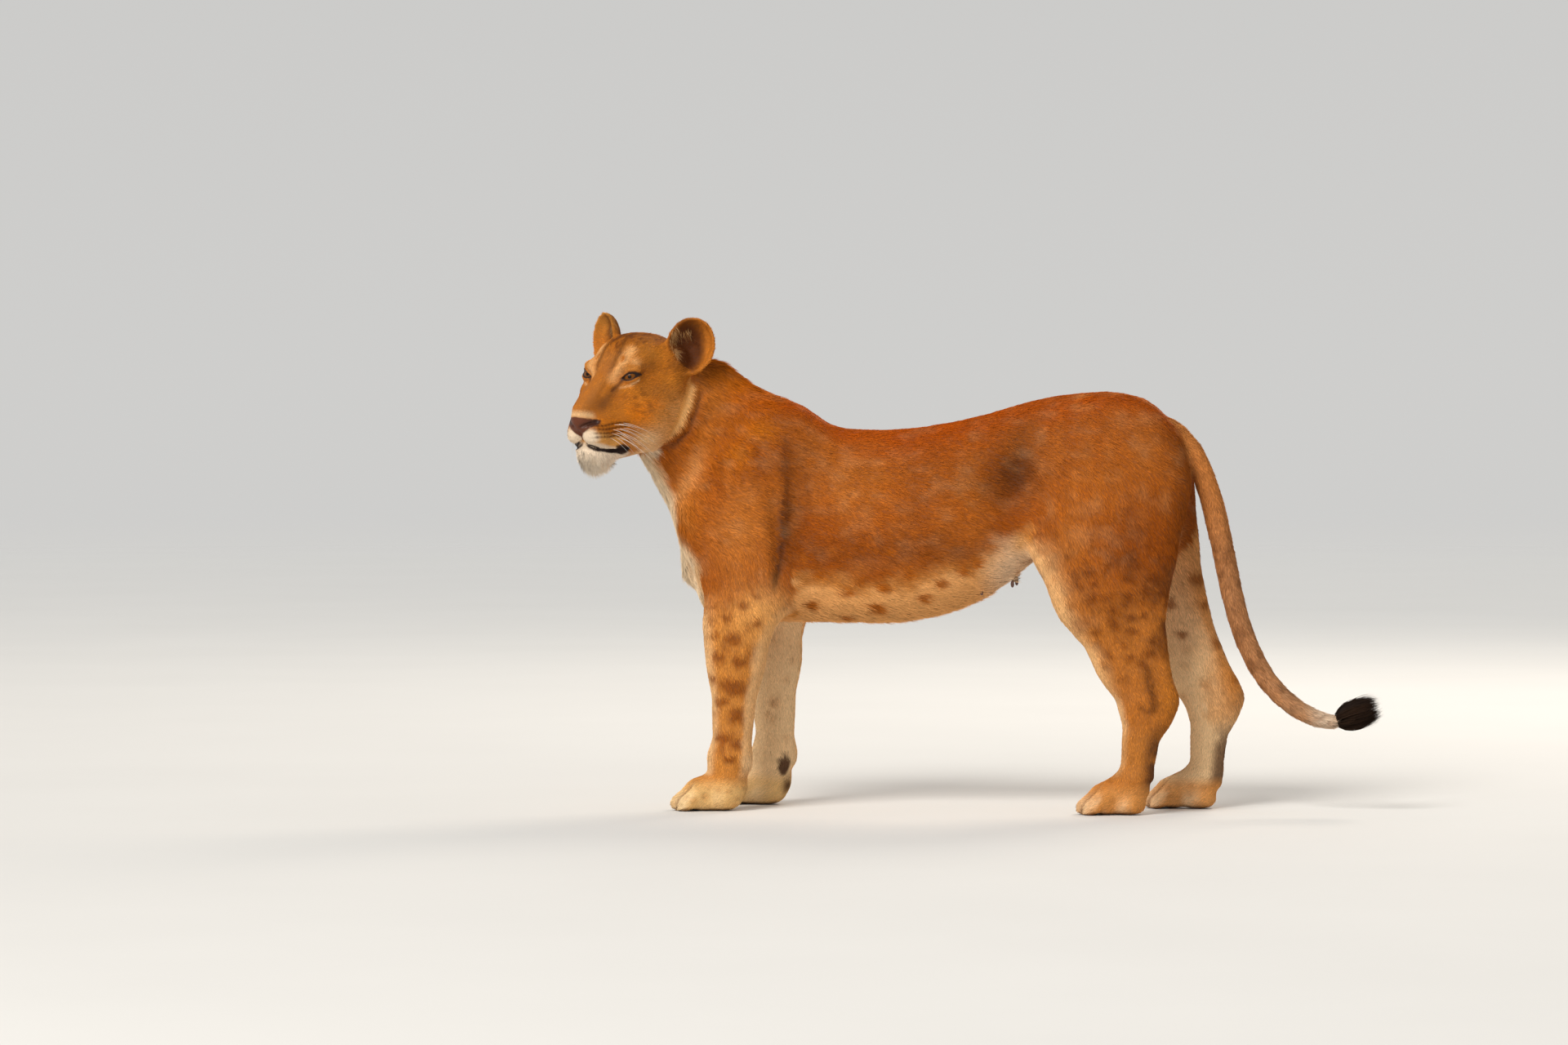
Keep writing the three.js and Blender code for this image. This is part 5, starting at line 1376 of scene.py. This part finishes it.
def make_coat(amount):
    skin, colour = MADE["skin"], MADE["colour"]
    if "spots" not in MADE:
        MADE["spots"] = unwrap_spots(skin)
    spots = MADE["spots"]
    q = to_head(MADE["outer"])
    material = hair_material("short_fur", 0.62)
    bare = bare_skin(q, skin.eye)
    under_foot = ramp(skin.points[:, 2], 3.0, 7.0)
    for index, (name, (kinds, front)) in enumerate(COAT_PIECES.items()):
        own = is_kind(skin.kind, *kinds.split()).astype(float)
        if front is not None:
            own *= (q[:, 0] > -12) == front
        weight = skin.count * own * (bare < 0.5) * under_foot * amount
        corners, shares, rng = scatter(skin, weight, 100 + index)
        n = unit(at_places(skin.normals, corners, shares))
        lie = at_places(skin.lie, corners, shares)
        lie = unit(lie - np.einsum("ij,ij->i", lie, n)[:, None] * n)
        length, width, lift = (at_places(v, corners, shares) for v in (skin.length, skin.width, skin.lift))
        roots = at_places(skin.points, corners, shares) - n * 0.4
        # Whorls and small wanderings, shared by neighbouring tufts.
        wander = 0.20 * cloud(roots, 38, 21) + 0.14 * cloud(roots, 11, 22) + 0.14 * rng.standard_normal(len(n))
        aside = np.cross(n, lie)
        lie = lie * np.cos(wander)[:, None] + aside * np.sin(wander)[:, None]
        clump = cloud(roots, 16, 23)
        lift = np.radians(lift * (1 + 0.22 * clump + 0.26 * rng.standard_normal(len(n))).clip(0.25, 2.0))
        length = length * (1 + 0.16 * clump + 0.16 * rng.standard_normal(len(n))).clip(0.5, 1.6)
        ways = lie * np.cos(lift)[:, None] + n * np.sin(lift)[:, None]
        uneven = (1 + 0.17 * rng.standard_normal(len(n)) + 0.12 * clump).clip(0.45, 1.6)
        tone = at_places(colour, corners, shares) * uneven[:, None]
        spot = at_places(spots, corners[:, :1], np.ones((len(corners), 1)))
        width = width * (0.8 + 0.4 * rng.random(len(n)))
        hair_object(name, roots, ways, -n * 0.06, length, width, n, tone, spot, material, thick=0.36)


def skin_tree():
    """The skin's faces in the head's frame, for rays and nearest places."""
    return BVHTree.FromPolygons(to_head(MADE["skin"].points).tolist(), MADE["skin"].tris.tolist())


def nearest_spot(points):
    """Skin vertices nearest to points, for colours, normals and places on the unwrap."""
    skin = MADE["skin"]
    if "tree" not in MADE:
        MADE["tree"] = BVHTree.FromPolygons(skin.points.tolist(), skin.tris.tolist())
    found = [MADE["tree"].find_nearest(Vector(p)) for p in points]
    face = np.array([f[2] for f in found])
    at = np.array([f[0] for f in found])
    normal = np.array([f[1] for f in found])
    return at, normal, skin.tris[face, 0]


def long_hair(
    name, roots, ways, bends, length, width, normals, tone, material, tip=1.1, root=0.85
):
    vertex = nearest_spot(roots)[2]
    return hair_object(
        name, roots, unit(ways), bends, length, width, unit(normals), tone, MADE["spots"][vertex], material,
        steps=5, thick=0.5, tip=tip, root=root,
    )


def make_tail_tuft(length):
    rng = np.random.default_rng(7)
    count, core = 2400, 46  # hairs, and how far along the tail's tip they root
    way = unit(TUFT_WAY)
    up = unit(np.cross(way, [0, 1, 0]))
    up = up if up[2] > 0 else -up
    side = np.array([0.0, 1.0, 0.0])
    along = rng.random(count) ** 0.8 * core - 6
    angle = rng.random(count) * 2 * math.pi
    radius = np.interp(along, [-6, 0, 22, 44], [17, 17, 13, 8]) * 0.92
    out = up * np.cos(angle)[:, None] + side * np.sin(angle)[:, None]
    roots = TUFT_START + way * (along[:, None] + 14) + out * radius[:, None]
    flare = 1.35 - 0.75 * rng.random(count)
    ways = unit(way + out * flare[:, None] + 0.06 * rng.standard_normal((count, 3)))
    bends = way * 0.10 - out * (0.52 * flare + 0.05)[:, None] + np.array([0, 0, 0.04])
    far = (along / core).clip(0, 1)
    size = length * (0.62 + 0.38 * rng.random(count)) * (1 - 0.35 * far)
    brown = 0.5 + 0.5 * cloud(roots, 9, 31)
    tone = mix(np.tile(INK, (count, 1)), (0.055, 0.026, 0.012), 0.55 * brown * (1 - far))
    material = hair_material("tail_tuft_hair", 0.5, own_share=0.8)
    width = 1.7 + 0.9 * rng.random(count)
    obj = long_hair("tail_tuft", roots, ways, bends, size, width, out, tone, material, tip=1.5, root=0.7)
    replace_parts(obj, "tail_tip")
    return obj


def make_beard(length):
    rng = np.random.default_rng(8)
    count = 1500
    along = rng.random(count)
    a = rng.random(count) * 2 - 1
    start = np.column_stack([28 + 58 * along - 10 * a * a, 33 * a * (1 - 0.25 * along), np.full(count, -230.0)])
    tree = skin_tree()
    hits = [tree.ray_cast(Vector(s), Vector((0, 0, 1))) for s in start]
    ok = np.array([h[0] is not None and h[0].z < -170 for h in hits])
    start[ok, 2] = [h[0].z for h, good in zip(hits, ok) if good]
    start, along, a = start[ok], along[ok], a[ok]
    count = len(start)
    still = np.zeros(count)
    ways = np.column_stack([0.05 - 0.50 * (1 - along), 0.30 * a, still - 1.0])
    ways = ways + 0.09 * rng.standard_normal((count, 3))
    bends = np.column_stack([still - 0.22, -0.16 * a, still - 0.05])
    size = length * (0.55 + 0.45 * rng.random(count)) * (1 - 0.35 * np.abs(a))
    size = size * (0.75 + 0.25 * np.sin(math.pi * along))
    out = unit(np.column_stack([0.4 * (along - 0.4), a, still - 0.5]))
    warm = 0.28 * ramp(cloud(start, 8, 33), -0.1, 0.7)
    tone = mix(np.tile((1.0, 0.82, 0.62), (count, 1)), (0.86, 0.54, 0.29), warm)
    roots = from_head(start + [0, 0, 1.5])
    ways, bends, out = (v @ HEAD_TURN.T for v in (unit(ways), bends, out))
    material = hair_material("beard_hair", 0.55, own_share=0.35)
    width = 1.3 + 0.7 * rng.random(count)
    return long_hair("beard", roots, ways, bends, size, width, out, tone, material)


EAR_LOCKS = (  # in the head's frame, on her left: place, reach, number of hairs and the way they hang
    ((-112, 84, 104), (7, 7, 16), 110, (-0.10, 0.30, -0.95)),
    ((-104, 95, 72), (7, 9, 16), 120, (-0.14, 0.30, -0.95)),
    ((-146, 98, 108), (14, 9, 8), 60, (0.10, 0.40, -0.95)),
)


def make_ear_hair(length):
    rng = np.random.default_rng(9)
    spots, ways = [], []
    for side in SIDES:
        for place, reach, count, way in EAR_LOCKS:
            spot = rng.standard_normal((count, 3)) * np.array(reach) * 0.55 + place
            spot[:, 1] *= side
            turn = 0.7 * cloud(spot, 6, 51)[:, None] * np.array([1.0, side, 0.2])
            spots.append(spot)
            ways.append(np.array(way) * [1, side, 1] + turn + 0.34 * rng.standard_normal((count, 3)))
    spot = from_head(np.concatenate(spots))
    ways = unit(np.concatenate(ways)) @ HEAD_TURN.T
    at, normal, _ = nearest_spot(spot)
    kept = np.linalg.norm(at - spot, axis=1) < 24
    at, normal, ways = at[kept], normal[kept], ways[kept]
    count = len(at)
    tone = mix(np.tile((0.74, 0.44, 0.19), (count, 1)), (0.36, 0.13, 0.03), rng.random(count))
    material = hair_material("ear_hair", 0.55, own_share=0.6)
    bends = -normal * 0.10 + 0.26 * rng.standard_normal((count, 3))
    size = length * (0.30 + 0.62 * rng.random(count))
    width = 0.45 + 0.35 * rng.random(count)
    return (
        long_hair("ear_hair", at, ways + normal * 0.18, bends, size, width, normal, tone, material)
    )


WHISKER_ROWS = (  # on her left: front end, back end and number of whiskers
    ((84, 50, -117), (34, 68, -102), 3),
    ((86, 48, -126), (30, 66, -113), 4),
    ((84, 48, -135), (28, 64, -125), 4),
    ((80, 50, -145), (28, 61, -138), 4),
)


def make_whiskers(length):
    rng = np.random.default_rng(11)
    roots, ways, bends, sizes = [], [], [], []
    tree = skin_tree()
    for side in SIDES:
        for row, (a, b, many) in enumerate(WHISKER_ROWS):
            for i in range(many):
                t = 0.42 + 0.58 * (i + 0.55) / many
                spot = np.array(a) * (1 - t) + np.array(b) * t
                roots.append(np.array(tree.find_nearest(Vector(spot * [1, side, 1]))[0]))
                way = np.array([-0.25 - 0.50 * t, side * (0.90 - 0.15 * t), 0.02 - 0.13 * row])
                ways.append(way + 0.08 * rng.standard_normal(3))
                bend = np.array([-0.16 - 0.10 * t, -side * 0.12, -0.38 - 0.04 * row])
                bends.append(bend + 0.06 * rng.standard_normal(3))
                sizes.append(length * (0.55 + 0.35 * t + 0.22 * rng.random()))
    roots, ways, bends, sizes = (np.array(v) for v in (roots, ways, bends, sizes))
    ways = unit(ways)
    count, width, thick, steps = len(sizes), 0.75, 0.85, 9
    points, tris, _, _ = strands(
        from_head(roots - ways * 1.0), ways @ HEAD_TURN.T, bends @ HEAD_TURN.T, sizes, np.full(count, width), thick,
        np.tile(HEAD_TURN[:, 2], (count, 1)), steps,
    )
    mesh = mesh_from_arrays("whiskers", to_row(points), tris, smooth=True)
    mesh.materials.append(whisker_material())
    return keep(add_object("whiskers", mesh))


def gaze(turn):
    """The way an eye looks, in the head's frame, from its turn to her left in degrees."""
    return Vector(unit(np.array([math.cos(math.radians(turn)), math.sin(math.radians(turn)), 0.03])))


def make_eyes(iris, rim):
    material = eye_material(iris, rim)
    ring_reach, cornea = 19.0, 12.0  # where the rings end, and how wide the front bulges
    for side, name, turn in ((1, "eye_left", 25), (-1, "eye_right", 4)):
        bm = bmesh.new()
        bmesh.ops.create_uvsphere(bm, u_segments=64, v_segments=64, radius=EYE_RADIUS)
        turned = Vector((0, 0, 1)).rotation_difference(gaze(turn)).to_matrix()
        rings = []
        for v in bm.verts:
            reach = math.hypot(v.co.x, v.co.y) if v.co.z > 0 else ring_reach + EYE_RADIUS - v.co.z * 0.1
            rings.append(min(reach / ring_reach, 1.0))
            if v.co.z > 0 and reach < cornea:
                v.co.z += 1.3 * (1 - (reach / cornea) ** 2) ** 1.5
            v.co = turned @ v.co
            v.co = row_point(from_head(np.array(v.co) + eye_at(side)))
        mesh = mesh_of(bm, name + "_ball")
        set_attribute(mesh, "rings", "FLOAT", rings)
        smooth_all(mesh)
        mesh.materials.append(material)
        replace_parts(keep(add_object(name + "_ball", mesh)), name)


def make_teats(size):
    bm = bmesh.new()
    for x, y, z in ((36, 64.0, 480), (93, 40.0, 460)):
        for side in SIDES:
            at, normal, _ = nearest_spot([(x, side * y, z)])
            level = Vector(at[0] - normal[0] * 3)
            new = bmesh.ops.create_uvsphere(bm, u_segments=16, v_segments=10, radius=size / 2)["verts"]
            bmesh.ops.scale(bm, vec=(0.62, 0.62, 1.25), verts=new)
            bmesh.ops.translate(bm, vec=level - Vector((0, 0, size * 0.35)), verts=new)
    for v in bm.verts:
        v.co = row_point(v.co)
    mesh = mesh_of(bm, "teats")
    smooth_all(mesh)
    mesh.materials.append(leather_material("teat_leather", (0.11, 0.05, 0.035)))
    return keep(add_object("teats", mesh))


def placed(name, data, at, way):
    """An object at a place, turned to look along a way."""
    obj = add_object(name, data)
    obj.location = at
    obj.rotation_euler = way.to_track_quat("-Z", "Y").to_euler()
    return obj


# The camera stands CAMERA_AWAY metres off and CAMERA_HEIGHT up, on her left, turned by CAMERA_TURN towards her
# tail. From the working origin its line of sight turns to her head and down by CAMERA_ASIDE, in picture points
# at a focal length of FOCAL points.
CAMERA_AWAY, CAMERA_HEIGHT, CAMERA_TURN = 12, 1.0, math.radians(5)
CAMERA_ASIDE, FOCAL = (232, 188.5), 6486.5
LENS, SENSOR = 121.62, 36.0
HORIZON, OVERHEAD = (0.74, 0.735, 0.72, 1), (0.46, 0.458, 0.450, 1)
LAMPS = (  # name, place, size, power and colour
    ("key", (-3.0, -8.0, 3.6), 3.4, 160.0, (1.0, 0.93, 0.84)),
    ("rim", (2.5, 5.0, 5.0), 3.0, 190.0, (1.0, 0.87, 0.72)),
)


def make_stage(tone, light):
    bm = bmesh.new()
    origin = Matrix.Translation(row_point((0, 0, 0)))
    bmesh.ops.create_circle(bm, cap_ends=True, segments=96, radius=60.0, matrix=origin)
    mesh = mesh_of(bm, "floor")
    mesh.materials.append(floor_material(tone))
    add_object("floor", mesh)
    # A pale room: as bright as the floor at the horizon, a little darker overhead.
    world = bpy.data.worlds.new("soft_light")
    world.use_nodes = True
    nodes = world.node_tree.nodes
    coords = nodes.new("ShaderNodeTexCoord")
    split = nodes.new("ShaderNodeSeparateXYZ")
    rise = nodes.new("ShaderNodeValToRGB")
    rise.color_ramp.elements[0].color = HORIZON
    rise.color_ramp.elements[1].color = OVERHEAD
    world.node_tree.links.new(coords.outputs["Generated"], split.inputs[0])
    world.node_tree.links.new(split.outputs["Z"], rise.inputs["Fac"])
    world.node_tree.links.new(rise.outputs["Color"], nodes["Background"].inputs["Color"])
    nodes["Background"].inputs["Strength"].default_value = 0.84 * light
    bpy.context.scene.world = world
    sun = bpy.data.lights.new("sun", "SUN")
    sun.energy, sun.angle, sun.color = 2.15 * light, math.radians(24), (1.0, 0.96, 0.90)
    placed("sun", sun, (0, 0, 0), Vector((0.60, 1.15, -1.15)))
    for name, at, size, power, colour in LAMPS:
        lamp = bpy.data.lights.new(name, "AREA")
        lamp.shape, lamp.size, lamp.energy, lamp.color = "DISK", size, power * light, colour
        at = Vector(at) - Vector(OFFSET)
        placed(name, lamp, at, row_point((0, 0, 550)) - at)
    camera = bpy.data.cameras.new("camera")
    camera.lens, camera.sensor_width, camera.clip_end = LENS, SENSOR, 200.0
    cos, sin = math.cos(CAMERA_TURN), math.sin(CAMERA_TURN)
    at = Vector((CAMERA_AWAY * sin, -CAMERA_AWAY * cos, CAMERA_HEIGHT)) - Vector(OFFSET)
    ahead, right = Vector((-sin, cos, 0)), Vector((cos, sin, 0))
    look = ahead - right * (CAMERA_ASIDE[0] / FOCAL) - Vector((0, 0, CAMERA_ASIDE[1] / FOCAL))
    bpy.context.scene.camera = placed("camera", camera, at, look)
    bpy.context.scene.view_settings.view_transform = "Standard"


# ---- add-on ------------------------------------------------------------------------------------------------------
def colour_setting(name, description, default):
    return bpy.props.FloatVectorProperty(
        name=name, description=description, default=default, subtype="COLOR", size=3, min=0.0, max=1.0
    )


def length_setting(name, description, default, low, high):
    return bpy.props.FloatProperty(
        name=name, description=description, default=default, min=low, max=high, unit="LENGTH"
    )


def share_setting(name, description, low, high):
    return bpy.props.FloatProperty(
        name=name, description=description, default=1.0, min=low, max=high, subtype="FACTOR"
    )


class LionessSettings(bpy.types.PropertyGroup):
    coat_amount: share_setting("Coat amount", "Share of the full number of tufts", 0.05, 1.2)
    coat_relief: share_setting(
        "Coat relief", "Share of the coat's depth that the skin lies below the solids' surface", 0.0, 1.5
    )
    tuft_length: length_setting("Tail tuft", "Length of the longest hair at the tail's tip", 0.098, 0.03, 0.15)
    beard_length: length_setting("Beard", "Length of the longest hair at the chin", 0.042, 0.01, 0.09)
    ear_hair_length: length_setting("Ear hair", "Length of the hair before the ears' hollows", 0.034, 0.01, 0.07)
    whisker_length: length_setting("Whiskers", "Length of the longest whiskers", 0.086, 0.03, 0.25)
    teat_size: length_setting("Teats", "Width of a teat", 0.013, 0.004, 0.03)
    iris: colour_setting("Iris", "Colour of the iris", (0.14, 0.044, 0.0045))
    iris_rim: colour_setting("Iris rim", "Colour of the ring round the iris", (0.020, 0.008, 0.004))
    floor: colour_setting("Floor", "Colour of the floor", (0.74, 0.74, 0.73))
    light: share_setting("Light", "Strength of the studio light", 0.1, 4.0)


class LIONESS_OT_skin(bpy.types.Operator):
    """Makes the skin that covers all the flesh"""

    bl_idname = "lioness.skin"
    bl_label = "Skin"

    def execute(self, context):
        make_skin(settings().coat_relief)
        return {"FINISHED"}


class LIONESS_OT_coat(bpy.types.Operator):
    """Lays the short coat of small tufts over the skin"""

    bl_idname = "lioness.coat"
    bl_label = "Coat"

    def execute(self, context):
        make_coat(settings().coat_amount)
        return {"FINISHED"}


class LIONESS_OT_long_hair(bpy.types.Operator):
    """Hangs the long hair of the tail's tip, the chin and the ears"""

    bl_idname = "lioness.long_hair"
    bl_label = "Long hair"

    def execute(self, context):
        own = settings()
        make_tail_tuft(own.tuft_length * 1000)
        make_beard(own.beard_length * 1000)
        make_ear_hair(own.ear_hair_length * 1000)
        return {"FINISHED"}


class LIONESS_OT_whiskers(bpy.types.Operator):
    """Sets the whiskers in the pads"""

    bl_idname = "lioness.whiskers"
    bl_label = "Whiskers"

    def execute(self, context):
        make_whiskers(settings().whisker_length * 1000)
        return {"FINISHED"}


class LIONESS_OT_eyes(bpy.types.Operator):
    """Sets both eyes behind the lids"""

    bl_idname = "lioness.eyes"
    bl_label = "Eyes"

    def execute(self, context):
        own = settings()
        make_eyes(tuple(own.iris), tuple(own.iris_rim))
        return {"FINISHED"}


class LIONESS_OT_teats(bpy.types.Operator):
    """Sets the teats under the belly"""

    bl_idname = "lioness.teats"
    bl_label = "Teats"

    def execute(self, context):
        make_teats(settings().teat_size * 1000)
        return {"FINISHED"}


class LIONESS_OT_stage(bpy.types.Operator):
    """Sets the floor, the soft light and the camera"""

    bl_idname = "lioness.stage"
    bl_label = "Stage"

    def execute(self, context):
        make_stage(tuple(settings().floor), settings().light)
        return {"FINISHED"}


OPERATORS = (
    LIONESS_OT_skin, LIONESS_OT_coat, LIONESS_OT_long_hair, LIONESS_OT_whiskers, LIONESS_OT_eyes, LIONESS_OT_teats,
    LIONESS_OT_stage,
)


class LIONESS_PT_panel(bpy.types.Panel):
    """Lists the lioness's pieces and their settings"""

    bl_idname = "LIONESS_PT_panel"
    bl_label = "Lioness"
    bl_space_type = "VIEW_3D"
    bl_region_type = "UI"
    bl_category = "Lioness"

    def draw(self, context):
        own = context.scene.lioness
        for name in LionessSettings.__annotations__:
            self.layout.prop(own, name)
        for operator in OPERATORS:
            self.layout.operator(operator.bl_idname)


CLASSES = (LionessSettings, *OPERATORS, LIONESS_PT_panel)


def register():
    for cls in CLASSES:
        bpy.utils.register_class(cls)
    bpy.types.Scene.lioness = bpy.props.PointerProperty(type=LionessSettings)


def unregister():
    del bpy.types.Scene.lioness
    for cls in reversed(CLASSES):
        bpy.utils.unregister_class(cls)


def main():
    register()
    bpy.ops.lioness.stage()
    bpy.ops.lioness.skin()
    bpy.ops.lioness.eyes()
    bpy.ops.lioness.coat()
    bpy.ops.lioness.long_hair()
    bpy.ops.lioness.whiskers()
    bpy.ops.lioness.teats()


if __name__ == "__main__":
    main()
